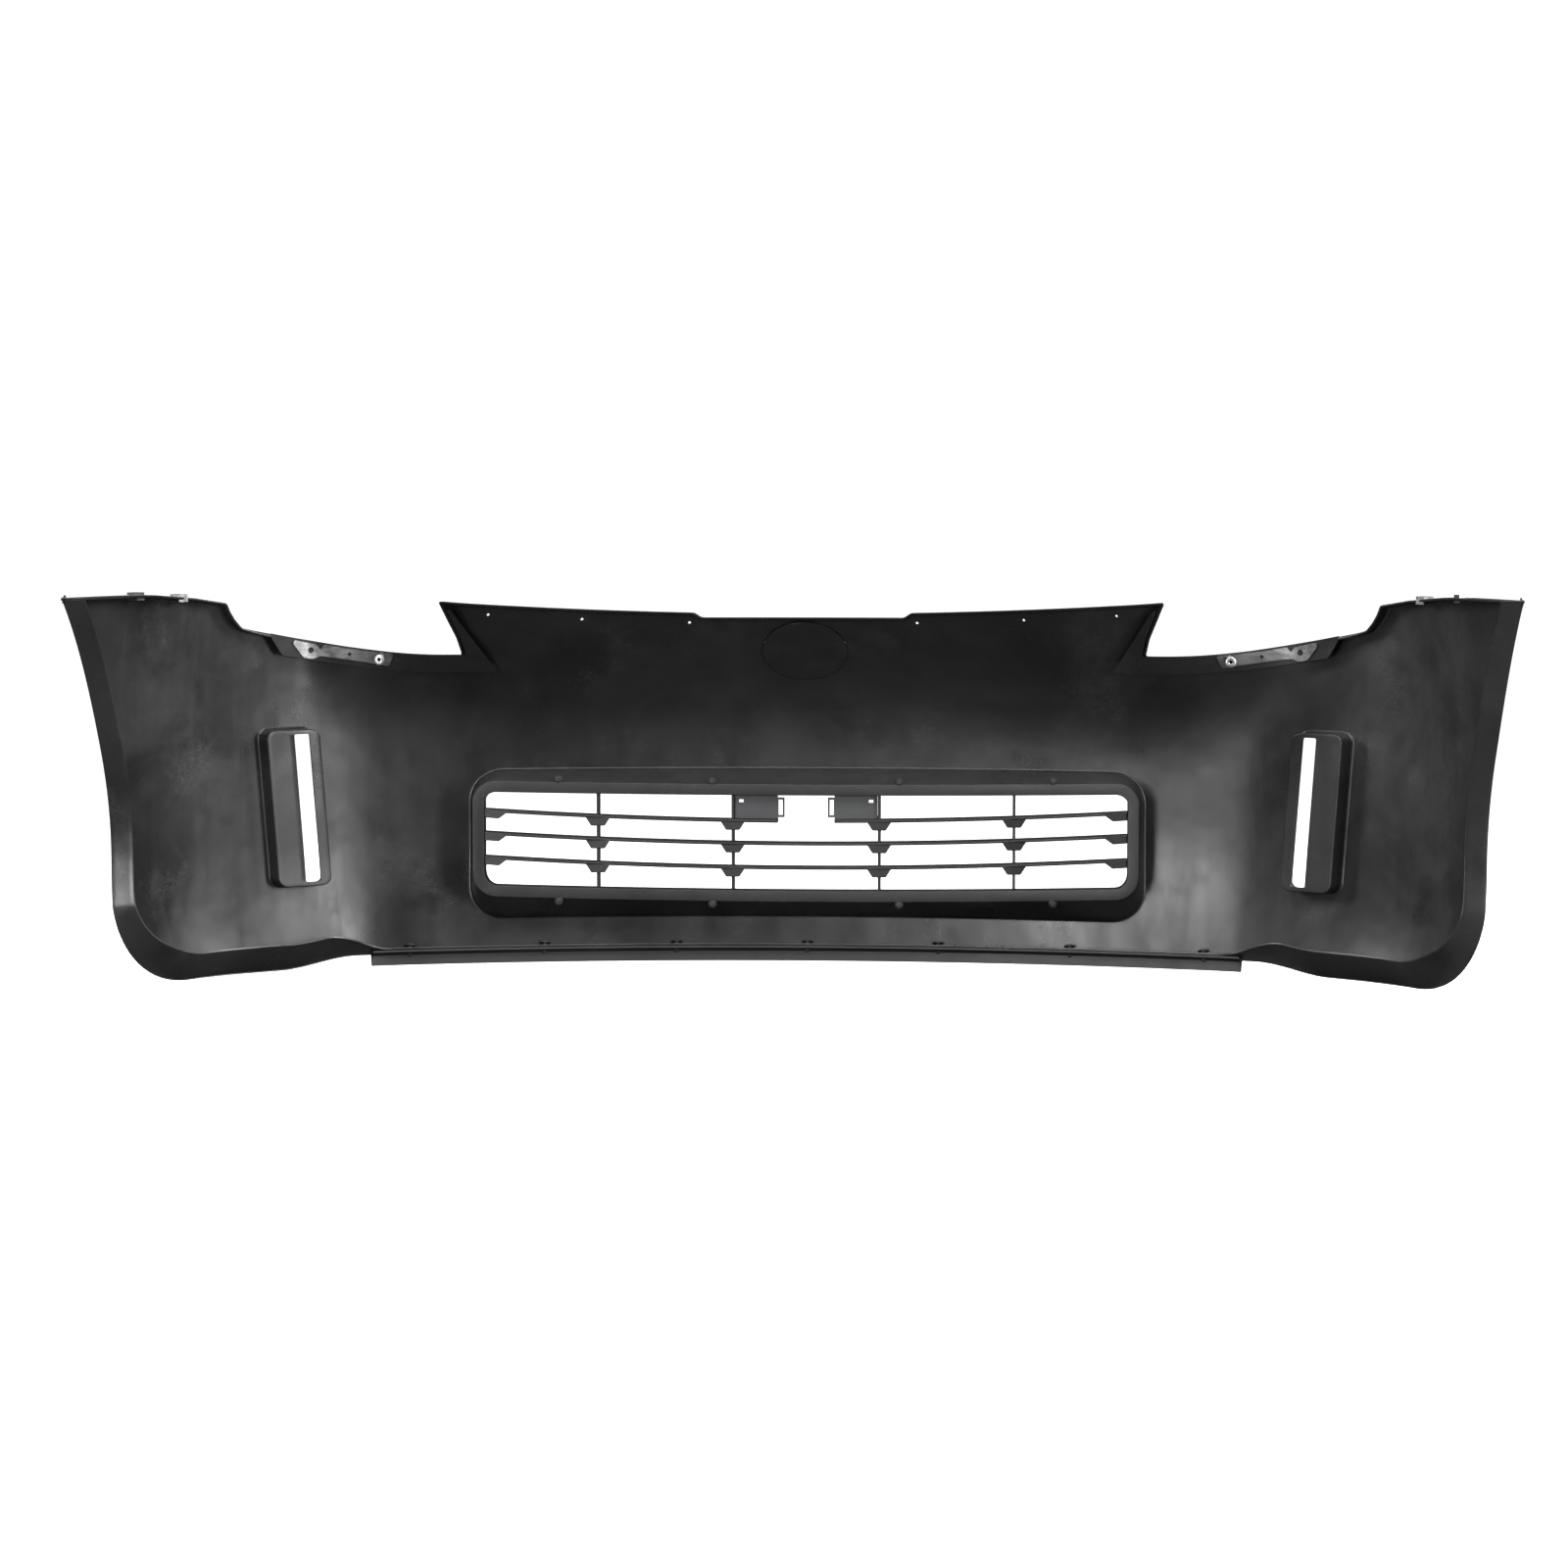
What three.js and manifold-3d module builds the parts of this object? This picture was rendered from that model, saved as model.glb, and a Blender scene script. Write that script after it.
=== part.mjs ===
// Front bumper cover of a sports coupe: one large moulding with its lower grille, plate brackets,
// lamp brackets, lower lip and fasteners. Millimetres, +Z up, +Y to the front of the car, and
// +X to the right of somebody who stands behind the cover and looks forward.
import * as THREE from "three";
import { mergeVertices } from "three/addons/utils/BufferGeometryUtils.js";
import Module from "manifold-3d";

const wasm = await Module();
wasm.setup();

// ---------------------------------------------------------------- driving dimensions

const WIDTH = 1780; // fender tip to fender tip
const DEPTH = 560; // nose to fender tip
const HEIGHT = 506; // feet to fender tip
const WALL = 3; // wall of the moulding
const GAP = 0.4; // clearance between pieces that touch

// Nose, hood edge and lamp cut-outs
const NOSE_SLOPE = 49 * THREE.MathUtils.DEG2RAD; // slope of the upper nose, from upright
const PLAN_TURN = { steady: 36, corner: 14, end: 30 }; // degrees that the plan turns by, nose to tip
const CORNER_TURN = { start: 0.458, length: 0.093 }; // where the quicker turns lie, as stations
const END_TURN = { start: 0.588, length: 0.32 };
const NOSE_BLEND = { start: 0.395, length: 0.193 }; // stations where the nose's lean fades out
const CHIN = { top: 200, curve: 0.0006 }; // below this height the nose curves inwards
const SIDE_TOP = { share: 0.6, curve: 0.0004 }; // above this share of the height the sides lean in
const SIDE_BOTTOM = { top: 170, curve: 0.0008 };
const BEND_DROP = 159; // the nose starts to slope this far under the fender tips
const BEND_SOFTNESS = 40; // half of the height over which the bend is rounded
const HOOD_EDGE_DROP = 33; // hood edge at its middle, under the fender tips
const HOOD_EDGE_RISE = 18; // how much higher the hood edge is at the horns
const HOOD_STEP = 5; // shallow step in the middle of the hood edge
const HOOD_STEP_HALF = 133; // half of the step's width
const HORN_BASE = 449; // from the centre line to the inner corner of the lamp cut-out
const HORN_LEAN = 21; // the horn's tip stands this far outside its base
const LAMP_DROP = 88; // inner corner of the lamp cut-out, under the fender tips
const LAMP_RISE = 38; // how much higher the lamp lip is at its outer end
const LAMP_FLAT = 30; // level run at the lip's inner end
const SHOULDER_STEPS = [10, 16, 20]; // the curved step's points, outwards from the lip's end
const LAMP_SHOULDER = 33; // height of the curved step up to the fender's top edge
const FENDER_TOP = 132; // length of the fender's top edge, seen from behind
const FENDER_POINTS = [55, 100]; // points of the fender's edge, outwards from the lip's end
const FENDER_RISE = 17; // the fender's top edge rises this much to its tip
const TOP_RETURN = 20; // depth of the returned edge along the top
const GUSSET_REACH = 44; // the horn's triangle reaches this far towards the centre line
const APRON_HEIGHT = 24; // height of the second wall under the lamp lip

// Wheel arch and feet
const ARCH_RADIUS = 420;
const ARCH_REACH = 334; // the fender tip stands this far above the wheel's centre
const ARCH_RETURN = 28; // width of the returned edge round the wheel arch
const FOOT_CORNER = 110; // radius of the lower rear corner
const FOOT_RISE = 13; // the bottom edge is this much higher between the feet
const FOOT_FROM_TIP = 245; // middle of the rise, from the fender tip
const FOOT_RAMP = 90; // width of the rise
const FOOT_RETURN = 44; // depth and height of the returned edge under the feet
const MIDDLE_RETURN = 20; // depth of the returned edge between the feet
const MIDDLE_RETURN_RISE = 9; // and how much it rises inwards

// Mouth and grille
const MOUTH_HALF = 452; // half width of the mouth at the skin
const MOUTH_BOTTOM = 60;
const MOUTH_HEIGHT = 198;
const MOUTH_CORNER = 42; // radius of the mouth's corners
const GRILLE_HALF = 428; // half width of the grille's opening
const GRILLE_BOTTOM = 99;
const GRILLE_HEIGHT = 128;
const GRILLE_CORNER = 16;
const GRILLE_SETBACK = 58; // the grille's middle plane, behind the nose
const GRILLE_BEND = 0.0002; // its plan is a parabola: setback grows with this times x squared
const FRAME_WIDTH = 10; // the frame's ring, seen from behind
const FRAME_DEPTH = 24;
const EAR_OFFSET = 5; // screw centre, outside the funnel's wall
const EAR_RADIUS = 5.5;
const SCREW_RADIUS = 2;
const SCREW_HEAD_RADIUS = 3.8;
const SCREW_LENGTH = 14;
const SCREW_STATIONS = [-330, -125, 125, 330]; // across the car, above and below the grille

const SLAT_DEPTH = 26;
const SLAT_THICKNESS = 5;
const SLAT_HEIGHTS = { upper: 93, middle: 62.5, lower: 30 }; // above the opening's lower edge
const FRAME_BOW_LESS = { top: 10, bottom: 7 }; // the frame's bars bow this much less than the slats
const SLAT_BOW = 16; // the slats' ends are this much higher than their middles
const KNUCKLE = { top: 17, bottom: 9, height: 10 }; // half widths and height of the block at a rib
const END_BLOCK = { length: 20, height: 12 };
const RIB_THICKNESS = 4;
const RIB_STATIONS = { outer: 278, inner: 98 };

// Number-plate brackets
const PLATE_INNER = 38; // the bracket's inner edge, from the centre line
const PLATE_THICKNESS = 3;
const PLATE_HOLE = { x: 90, drop: 6, width: 6, height: 4 };
const PLATE_HOOK = { reach: 9, bar: 2.5 };

// Marker-lamp pockets
const POCKET_FROM_TIP = 210; // pocket centre, from the fender tip
const POCKET_WIDTH = 64;
const POCKET_HEIGHT = 208;
const POCKET_LEAN = 14; // its lower end stands this far inwards
const POCKET_DEPTH = 28;
const POCKET_CORNER = 12;
const SLOT_WIDTH = 18;
const SLOT_MARGIN = 6; // from the slot's ends to the pocket's ends
const SLOT_FLANGE = 13; // strip of floor between the slot and the inner wall

// Emblem seat, lamp brackets, clips
const SEAT_RADIUS = 59;
const SEAT_DROP = 85; // centre, under the fender tips
const SEAT_STEP = 2.5;
const SEAT_PIN = { x: 51, rise: 12, radius: 3 };
const BRACKET_LENGTH = 130;
const BRACKET_SHIFT = 12; // outwards from the middle of the lamp lip
const BRACKET_THICKNESS = 2;
const RIVET_RADIUS = 4;
const RIVET_BORE = 2.2;
const RIVET_FLANGE = 7;
const LIP_HEIGHT = FOOT_RISE; // the lower lip reaches down to the level of the feet
const LIP_THICKNESS = 3.5;
const LIP_END = 18; // the lip stops this far short of the feet's ramps
const CLIP_COUNT = 7;
const CLIP_RADIUS = 3.5;
const CLIP_HEAD_RADIUS = 8;
const CLIP_CROWN_RADIUS = 5.5;
const CLIP_HEAD_HEIGHT = 2.2;
const CLIP_TIP = { radius: 1.6, start: -4.2, end: -8.5 }; // the barb, along the clip's axis
const LIP_SETBACK = 5; // the blade's front face, inside the skin
const LIP_FOOT = 3; // thickness of the lip's foot
const NUT_CLIP = { width: 16, depth: 16, height: 10 };
const NUT_STATIONS = [42, 82]; // inwards from the fender tip
const NUT_PLAY = 0.8; // between a spring nut and the ledge it grips
const CLIP_STANDOFF = 2.2; // between the bottom return and a clip's head
const CLIP_END = 50; // the outer clips stand this far inside the lip's ends
const CLIP_INSET = WALL + CLIP_HEAD_RADIUS + WIDTH / 1000; // clear of the skin and of its facets
const EDGE_HOLES = { stations: [150, 290, 410], drop: 14, radius: 2.5 }; // in the returned hood edge
const BRACKET_TAB_HOLE = { shift: 21, drop: 11, radius: 4 }; // shift from the bracket's outer end
const BRACKET_SMALL_HOLE = { shift: 60, drop: 9, radius: 2.5 }; // shift from its inner end
const BRACKET_RIVET_HOLE = { shift: 19, drop: 1.1 * (WALL + RIVET_FLANGE) }; // clear of the lip
const BRACKET_NOTCH = 33; // the V notch, from the bracket's outer end
const RIVET_REACH = { front: 9, rear: 11 }; // from the apron's rear face to the rivet's ends
const RIVET_FLANGE_THICKNESS = 1.4;
const BORE_OVERRUN = 5; // the bore is cut from this far outside the rivet

// Fineness of the faceted surfaces
const COLUMNS = 56;
const CORNER_STEPS = 4;
const RUN_STEPS = 14; // along a straight run that follows the plan's curve

// ---------------------------------------------------------------- small helpers

const half = WIDTH / 2;
const clamp = THREE.MathUtils.clamp;
const lerp = THREE.MathUtils.lerp;
const smooth = (t) => THREE.MathUtils.smoothstep(t, 0, 1);
const v3 = (x, y, z) => new THREE.Vector3(x, y, z);
const sides = [
  { name: "left", sign: -1 },
  { name: "right", sign: 1 },
];

/** A solid for joining and cutting, from a closed three.js geometry. */
function solid(geometry) {
  geometry.deleteAttribute("normal");
  geometry.deleteAttribute("uv");
  const merged = mergeVertices(geometry, 1e-4);
  const mesh = new wasm.Mesh({
    numProp: 3,
    vertProperties: merged.attributes.position.array,
    triVerts: new Uint32Array(merged.index.array),
  });
  return new wasm.Manifold(mesh);
}

/** Splits every quad of a box's grid along the diagonal that starts nearest to the middle's foot,
 * so that the two halves mirror each other and parallel surfaces never cross. */
function evenDiagonals(geometry) {
  const { index, attributes } = geometry;
  const rank = (i) => Math.abs(attributes.position.getX(i)) + attributes.position.getY(i);
  for (let i = 0; i < index.count; i += 6) {
    const [a, b, d, c] = [index.getX(i), index.getX(i + 1), index.getX(i + 2), index.getX(i + 4)];
    const lowest = Math.min(rank(a), rank(b), rank(c), rank(d));
    if (lowest < Math.min(rank(b), rank(d))) [a, b, c, a, c, d].forEach((v, k) => index.setX(i + k, v));
  }
  return geometry;
}

/** The same geometry with every corner moved to where place puts it. */
function bend(geometry, place) {
  const position = geometry.attributes.position;
  const corner = new THREE.Vector3();
  for (let i = 0; i < position.count; i++) {
    const moved = place(corner.fromBufferAttribute(position, i));
    position.setXYZ(i, moved.x, moved.y, moved.z);
  }
  return geometry;
}

/** Points [x, z] seen from behind, extruded along the car from y = from to y = to. */
function prism(points, from, to) {
  const shape = new THREE.Shape(points.map(([x, z]) => new THREE.Vector2(x, z)));
  const geometry = new THREE.ExtrudeGeometry(shape, { depth: to - from, bevelEnabled: false });
  return solid(bend(geometry, (p) => v3(p.x, to - p.z, p.y)));
}

/** Points [setback, z] seen from the side, extruded across the whole car. */
function crossPrism(points) {
  const shape = new THREE.Shape(points.map(([x, z]) => new THREE.Vector2(x, z)));
  const geometry = new THREE.ExtrudeGeometry(shape, { depth: 1.4 * WIDTH, bevelEnabled: false });
  return solid(bend(geometry, (p) => v3(0.7 * WIDTH - p.z, -p.x, p.y)));
}

/** A cylinder or cone from one point to another. */
function rod(start, end, radius, endRadius = radius, segments = 12) {
  const axis = end.clone().sub(start);
  const geometry = new THREE.CylinderGeometry(endRadius, radius, axis.length(), segments);
  geometry.translate(0, axis.length() / 2, 0);
  const turn = new THREE.Quaternion().setFromUnitVectors(v3(0, 1, 0), axis.clone().normalize());
  return solid(geometry.applyQuaternion(turn).translate(start.x, start.y, start.z));
}

const joinAll = (solids) => solids.reduce((all, one) => all.add(one));
const mirrored = (points) => points.map(([x, z]) => [-x, z]).reverse();

/** An open outline moved sideways by a distance, to the left of its direction of travel. */
function offsetLine(points, distance) {
  return points.map(([x, z], i) => {
    const [x0, z0] = points[Math.max(i - 1, 0)];
    const [x1, z1] = points[Math.min(i + 1, points.length - 1)];
    const length = Math.hypot(x1 - x0, z1 - z0);
    return [x - ((z1 - z0) / length) * distance, z + ((x1 - x0) / length) * distance];
  });
}

/** A rounded rectangle as points, counter-clockwise, the same number for every size. */
function roundedRectangle(halfWidth, bottom, top, radius) {
  const points = [];
  const corners = [
    [halfWidth - radius, bottom + radius, -90],
    [halfWidth - radius, top - radius, 0],
    [-halfWidth + radius, top - radius, 90],
    [-halfWidth + radius, bottom + radius, 180],
  ];
  corners.forEach(([x, z, start], index) => {
    for (let i = 0; i <= CORNER_STEPS; i++) {
      const angle = (start + (90 * i) / CORNER_STEPS) * THREE.MathUtils.DEG2RAD;
      points.push([x + radius * Math.cos(angle), z + radius * Math.sin(angle)]);
    }
    if (index % 2 === 1) points.push(...acrossPoints(points.at(-1), halfWidth - radius));
  });
  return points;
}

/** Points along a straight run from one end to its mirror image, so that it can follow a curve. */
function acrossPoints([x, z], reach) {
  const direction = Math.sign(x);
  const inner = [];
  for (let i = 1; i < RUN_STEPS; i++) inner.push([direction * reach * (1 - (2 * i) / RUN_STEPS), z]);
  return inner;
}

// ---------------------------------------------------------------- the skin's surface

/** Heading of the plan curve, in radians, at station s: 0 at the nose, 1 at the fender tip. */
function heading(s) {
  const corner = PLAN_TURN.corner * smooth((s - CORNER_TURN.start) / CORNER_TURN.length);
  const end = PLAN_TURN.end * smooth((s - END_TURN.start) / END_TURN.length);
  return (PLAN_TURN.steady * s + corner + end) * THREE.MathUtils.DEG2RAD;
}

/** Running integral of the heading, sampled evenly from the nose to a little past the tip. */
function planTable() {
  const steps = 1200;
  const reach = 1.06;
  const rows = [{ x: 0, setback: 0 }];
  for (let i = 0; i < steps; i++) {
    const angle = heading(((i + 0.5) / steps) * reach);
    const last = rows[i];
    rows.push({ x: last.x + Math.cos(angle), setback: last.setback + Math.sin(angle) });
  }
  return { rows, steps, reach };
}
const plan = planTable();

function rawPlan(s) {
  const place = clamp((s / plan.reach) * plan.steps, 0, plan.steps - 1e-6);
  const low = plan.rows[Math.floor(place)];
  const high = plan.rows[Math.floor(place) + 1];
  const share = place - Math.floor(place);
  return { x: lerp(low.x, high.x, share), setback: lerp(low.setback, high.setback, share) };
}

const softRamp = (x, width) => 0.5 * (x + Math.sqrt(x * x + width * width));
const bendHeight = HEIGHT - BEND_DROP;

/** How far the surface stands inside the plan curve at a height: nose part and side part. */
function noseInset(z) {
  const ramp = softRamp(z - bendHeight, BEND_SOFTNESS) - softRamp(-bendHeight, BEND_SOFTNESS);
  return Math.tan(NOSE_SLOPE) * ramp + CHIN.curve * Math.max(CHIN.top - z, 0) ** 2;
}
function sideInset(z) {
  const top = SIDE_TOP.curve * Math.max(z - SIDE_TOP.share * HEIGHT, 0) ** 2;
  return top + SIDE_BOTTOM.curve * Math.max(SIDE_BOTTOM.top - z, 0) ** 2;
}
function inset(s, z) {
  const nose = 1 - smooth((Math.abs(s) - NOSE_BLEND.start) / NOSE_BLEND.length);
  return nose * noseInset(z) + (1 - nose) * sideInset(z);
}

const planScale = {
  x: (half + sideInset(HEIGHT)) / rawPlan(1).x,
  setback: DEPTH / rawPlan(1).setback,
};

/** A point of the skin: station s, height z, and a distance inwards, measured level. */
function skinPoint(s, z, inwards = 0) {
  const flat = rawPlan(Math.abs(s));
  const angle = heading(Math.abs(s));
  const along = v3(Math.cos(angle) * planScale.x, Math.sin(angle) * planScale.setback, 0).normalize();
  const reach = inset(s, z) + inwards;
  const x = flat.x * planScale.x - along.y * reach;
  const setback = flat.setback * planScale.setback + along.x * reach;
  return v3(Math.sign(s) * x, -setback, z);
}

/** The level distance that gives the wall its true thickness where the surface slopes. */
function levelWall(s, z) {
  const slope = (inset(s, z + 1) - inset(s, z - 1)) / 2;
  return WALL * Math.sqrt(1 + slope * slope);
}

/** The station where the skin at height z has a given x, found by halving. */
function stationAt(x, z) {
  let low = 0;
  let high = plan.reach - 0.01;
  for (let i = 0; i < 30; i++) {
    const middle = (low + high) / 2;
    if (skinPoint(middle, z).x < Math.abs(x)) low = middle;
    else high = middle;
  }
  return Math.sign(x) * low;
}
const skinSetback = (x, z, inwards = 0) => -skinPoint(stationAt(x || 0.01, z), z, inwards).y;

/** Heights of the surface's rows: close together round the bend of the nose. */
function rowHeights() {
  const rows = [];
  const softEnd = 1.2 * BEND_SOFTNESS;
  for (let z = -6; z < HEIGHT + 14; z += Math.abs(z - bendHeight) < softEnd ? 16 : 36) rows.push(z);
  rows.push(HEIGHT + 14);
  return rows;
}
const ROWS = rowHeights();
const LAST_STATION = 1.035;

/** A curved slab that follows the skin between two distances inwards. */
function slab(near, far) {
  const count = ROWS.length - 1;
  const geometry = new THREE.BoxGeometry(2, 1, 1, COLUMNS, count, 1);
  const shaped = bend(evenDiagonals(geometry), (p) => {
    const z = ROWS[Math.round((p.y + 0.5) * count)];
    const s = p.x * LAST_STATION;
    return skinPoint(s, z, p.z < 0 ? near(s, z) : far(s, z));
  });
  return solid(shaped);
}
const evenSlab = (near, far) =>
  slab(
    () => near,
    () => far,
  );

/** A ribbon along the skin: section(s, across, inwards) gives [distance inwards, height]. */
function ribbon(firstStation, lastStation, columns, section) {
  const geometry = new THREE.BoxGeometry(1, 1, 1, columns, 1, 1);
  const shaped = bend(evenDiagonals(geometry), (p) => {
    const s = lerp(firstStation, lastStation, p.x + 0.5);
    const [inwards, z] = section(s, p.y + 0.5, p.z + 0.5);
    return skinPoint(s, z, inwards);
  });
  return solid(shaped);
}

// ---------------------------------------------------------------- outlines

const lampInner = { x: HORN_BASE, z: HEIGHT - LAMP_DROP };
const lampOuter = { x: half - FENDER_TOP - SHOULDER_STEPS[2], z: lampInner.z + LAMP_RISE };
const hornTip = { x: HORN_BASE + HORN_LEAN, z: HEIGHT - HOOD_EDGE_DROP + HOOD_EDGE_RISE };

const hoodEdge = (x) => HEIGHT - HOOD_EDGE_DROP + HOOD_EDGE_RISE * (x / hornTip.x) ** 2;
const lampLip = (x) => {
  const rising = lampInner.x + LAMP_FLAT;
  const share = clamp((x - rising) / (lampOuter.x - rising), 0, 1);
  return lampInner.z + LAMP_RISE * share ** 1.9;
};

/** The right half of the top edge, from the centre line to past the fender tip. */
function topEdge() {
  const line = [[0.001, HEIGHT - HOOD_EDGE_DROP - HOOD_STEP]];
  line.push([HOOD_STEP_HALF, line[0][1]]);
  for (let i = 0; i <= 8; i++) {
    const x = lerp(HOOD_STEP_HALF + 9, hornTip.x, i / 8);
    line.push([x, hoodEdge(x)]);
  }
  line.push([hornTip.x - 9, hornTip.z - 26]);
  line.push([lampInner.x + 4, lampInner.z + 24]);
  for (let i = 0; i <= 10; i++) {
    const x = lerp(lampInner.x, lampOuter.x, i / 10);
    line.push([x, lampLip(x)]);
  }
  const shoulder = lampOuter.z + LAMP_SHOULDER;
  const [first, second, last] = SHOULDER_STEPS;
  line.push([lampOuter.x + first, lerp(lampOuter.z, shoulder, 0.33)]);
  line.push([lampOuter.x + second, lerp(lampOuter.z, shoulder, 0.64)]);
  line.push([lampOuter.x + last, shoulder]);
  line.push([lampOuter.x + FENDER_POINTS[0], shoulder + 0.45 * FENDER_RISE]);
  line.push([lampOuter.x + FENDER_POINTS[1], shoulder + 0.83 * FENDER_RISE]);
  line.push([half, HEIGHT], [half + 90, HEIGHT + 5]);
  return line;
}

/** Everything above the top edge, or above a line a distance below it. */
function aboveTop(distance) {
  const line = offsetLine(topEdge(), -distance);
  line[0][0] = 0.001;
  const right = [...line, [half + 90, HEIGHT + 90]];
  return prism([...right, ...mirrored(right)], -2 * DEPTH, DEPTH);
}

const footMiddle = half - FOOT_FROM_TIP;
const bottomEdge = (x) =>
  FOOT_RISE * (1 - smooth((Math.abs(x) - footMiddle + FOOT_RAMP / 2) / FOOT_RAMP));

/** Everything below the bottom edge. */
function belowBottom() {
  const right = [];
  for (let i = 0; i <= 10; i++) {
    const x = footMiddle + FOOT_RAMP * (i / 10 - 0.5);
    right.push([x, bottomEdge(x)]);
  }
  right.push([half + 60, 0], [half + 60, -60]);
  return prism([...right, ...mirrored(right)], -2 * DEPTH, DEPTH);
}

const wheel = {
  z: HEIGHT - ARCH_REACH,
  setback: DEPTH + Math.sqrt(ARCH_RADIUS ** 2 - ARCH_REACH ** 2),
};

/** Everything behind the wheel arch and the lower rear corner, grown forwards by a distance. */
function behindArch(distance) {
  const radius = ARCH_RADIUS + distance;
  const join = Math.asin(clamp((FOOT_CORNER - wheel.z) / radius, -1, 1));
  const reach = wheel.setback - radius * Math.cos(join);
  const points = [];
  const corner = FOOT_CORNER - distance;
  for (let i = 0; i <= 8; i++) {
    const angle = ((i / 8) * Math.PI) / 2;
    points.push([reach - corner + corner * Math.sin(angle), FOOT_CORNER - corner * Math.cos(angle)]);
  }
  const top = Math.asin((HEIGHT + 40 - wheel.z) / radius);
  for (let i = 1; i <= 16; i++) {
    const angle = lerp(join, top, i / 16);
    points.push([wheel.setback - radius * Math.cos(angle), wheel.z + radius * Math.sin(angle)]);
  }
  points.push([2 * DEPTH, HEIGHT + 40], [2 * DEPTH, -60], [reach - corner, -60]);
  return crossPrism(points);
}

// ---------------------------------------------------------------- the mouth and the grille's place

/** How much the grille rises at x and height z: most at the slats, less at the frame. */
function grilleRise(x, z) {
  const top = GRILLE_BOTTOM + GRILLE_HEIGHT;
  const fullTop = GRILLE_BOTTOM + SLAT_HEIGHTS.upper;
  const fullBottom = GRILLE_BOTTOM + SLAT_HEIGHTS.lower;
  const upper = FRAME_BOW_LESS.top * smooth((z - fullTop) / (top - fullTop));
  const lower = FRAME_BOW_LESS.bottom * smooth((fullBottom - z) / (fullBottom - GRILLE_BOTTOM));
  return (SLAT_BOW - upper - lower) * Math.min((x / GRILLE_HALF) ** 2, 1.1);
}
const grilleSetback = (x) => GRILLE_SETBACK + GRILLE_BEND * x * x;

/** A closed hoop: loops of the same number of points, each joined to the next and the last to the first. */
function hoop(loops) {
  const corners = [];
  loops.forEach((loop, k) => {
    const next = loops[(k + 1) % loops.length];
    loop.forEach((a, i) => {
      const j = (i + 1) % loop.length;
      corners.push(a, loop[j], next[j], a, next[j], next[i]);
    });
  });
  return solid(new THREE.BufferGeometry().setFromPoints(corners));
}

/** A loop round the grille: a margin outside its opening, and a depth behind its middle plane. */
const grilleLoop = (margin, depth) => grilleOutline(margin).map(([x, z]) => grillePoint(x, z, depth));

const grilleOutline = (margin) =>
  roundedRectangle(
    GRILLE_HALF + margin,
    GRILLE_BOTTOM - margin,
    GRILLE_BOTTOM + GRILLE_HEIGHT + margin,
    GRILLE_CORNER + margin,
  );
const mouthOutline = (margin) =>
  roundedRectangle(
    MOUTH_HALF + margin,
    MOUTH_BOTTOM - margin,
    MOUTH_BOTTOM + MOUTH_HEIGHT + margin,
    MOUTH_CORNER + margin,
  );
const frameRear = FRAME_DEPTH / 2;

/** The funnel: a wall from the mouth's edge in the skin back to the grille frame. */
function funnel() {
  const front = (margin) =>
    mouthOutline(margin).map(([x, z]) => v3(x, -skinSetback(x, z, WALL / 2), z));
  const rear = (margin) => grilleLoop(FRAME_WIDTH + GAP + margin, frameRear);
  return hoop([front(0), rear(WALL), rear(0), front(-WALL)]);
}

/** Screw centres [x, z] round the grille, before the grille's rise is added. */
function screwPlaces() {
  const out = FRAME_WIDTH + GAP + WALL + EAR_OFFSET;
  const rows = [GRILLE_BOTTOM + GRILLE_HEIGHT + out, GRILLE_BOTTOM - out];
  return rows.flatMap((z) => SCREW_STATIONS.map((x) => [x, z + grilleRise(x, z)]));
}

/** A round piece on a screw's axis, bent with the grille; depths run from its middle plane. */
function screwRod([x, z], front, rear, frontRadius, rearRadius = frontRadius, segments = 12) {
  const geometry = new THREE.CylinderGeometry(rearRadius, frontRadius, rear - front, segments);
  geometry.translate(0, (front + rear) / 2, 0);
  return solid(bend(geometry, (p) => v3(x + p.x, -grilleSetback(x + p.x) - p.y, z - p.z)));
}

// ---------------------------------------------------------------- pieces of the skin

/** Corners of a marker-lamp pocket, or of its inside, seen from behind. */
function pocketOutline(margin) {
  const centre = half - POCKET_FROM_TIP;
  const middle = (lampInner.z + FOOT_RISE) / 2;
  const base = roundedRectangle(
    POCKET_WIDTH / 2 + margin,
    middle - POCKET_HEIGHT / 2 - margin,
    middle + POCKET_HEIGHT / 2 + margin,
    POCKET_CORNER + margin,
  );
  return base.map(([x, z]) => [centre + x + POCKET_LEAN * ((z - middle) / POCKET_HEIGHT), z]);
}

function slotOutline() {
  const pocket = pocketOutline(0);
  const zs = pocket.map(([, z]) => z);
  const top = Math.max(...zs) - SLOT_MARGIN;
  const bottom = Math.min(...zs) + SLOT_MARGIN;
  const middle = (top + bottom) / 2;
  const inner = half - POCKET_FROM_TIP - POCKET_WIDTH / 2 + SLOT_FLANGE;
  const lean = (z) => POCKET_LEAN * ((z - middle) / POCKET_HEIGHT);
  return [
    [inner + lean(bottom) + 4, bottom],
    [inner + lean(bottom) + SLOT_WIDTH, bottom + 5],
    [inner + lean(top) + SLOT_WIDTH, top],
    [inner + lean(top), top - 2],
    [inner + lean(bottom), bottom + 4],
  ];
}

const place = (points, sign) => (sign > 0 ? points : mirrored(points));

function pocketSolid(sign) {
  const box = prism(place(pocketOutline(0), sign), -2 * DEPTH, DEPTH);
  return box.intersect(evenSlab(WALL / 2, POCKET_DEPTH));
}

function pocketHollow(sign) {
  const box = prism(place(pocketOutline(-WALL), sign), -2 * DEPTH, DEPTH);
  const slot = prism(place(slotOutline(), sign), -2 * DEPTH, DEPTH);
  return box.intersect(evenSlab(-20, POCKET_DEPTH - WALL)).add(slot);
}

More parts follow.
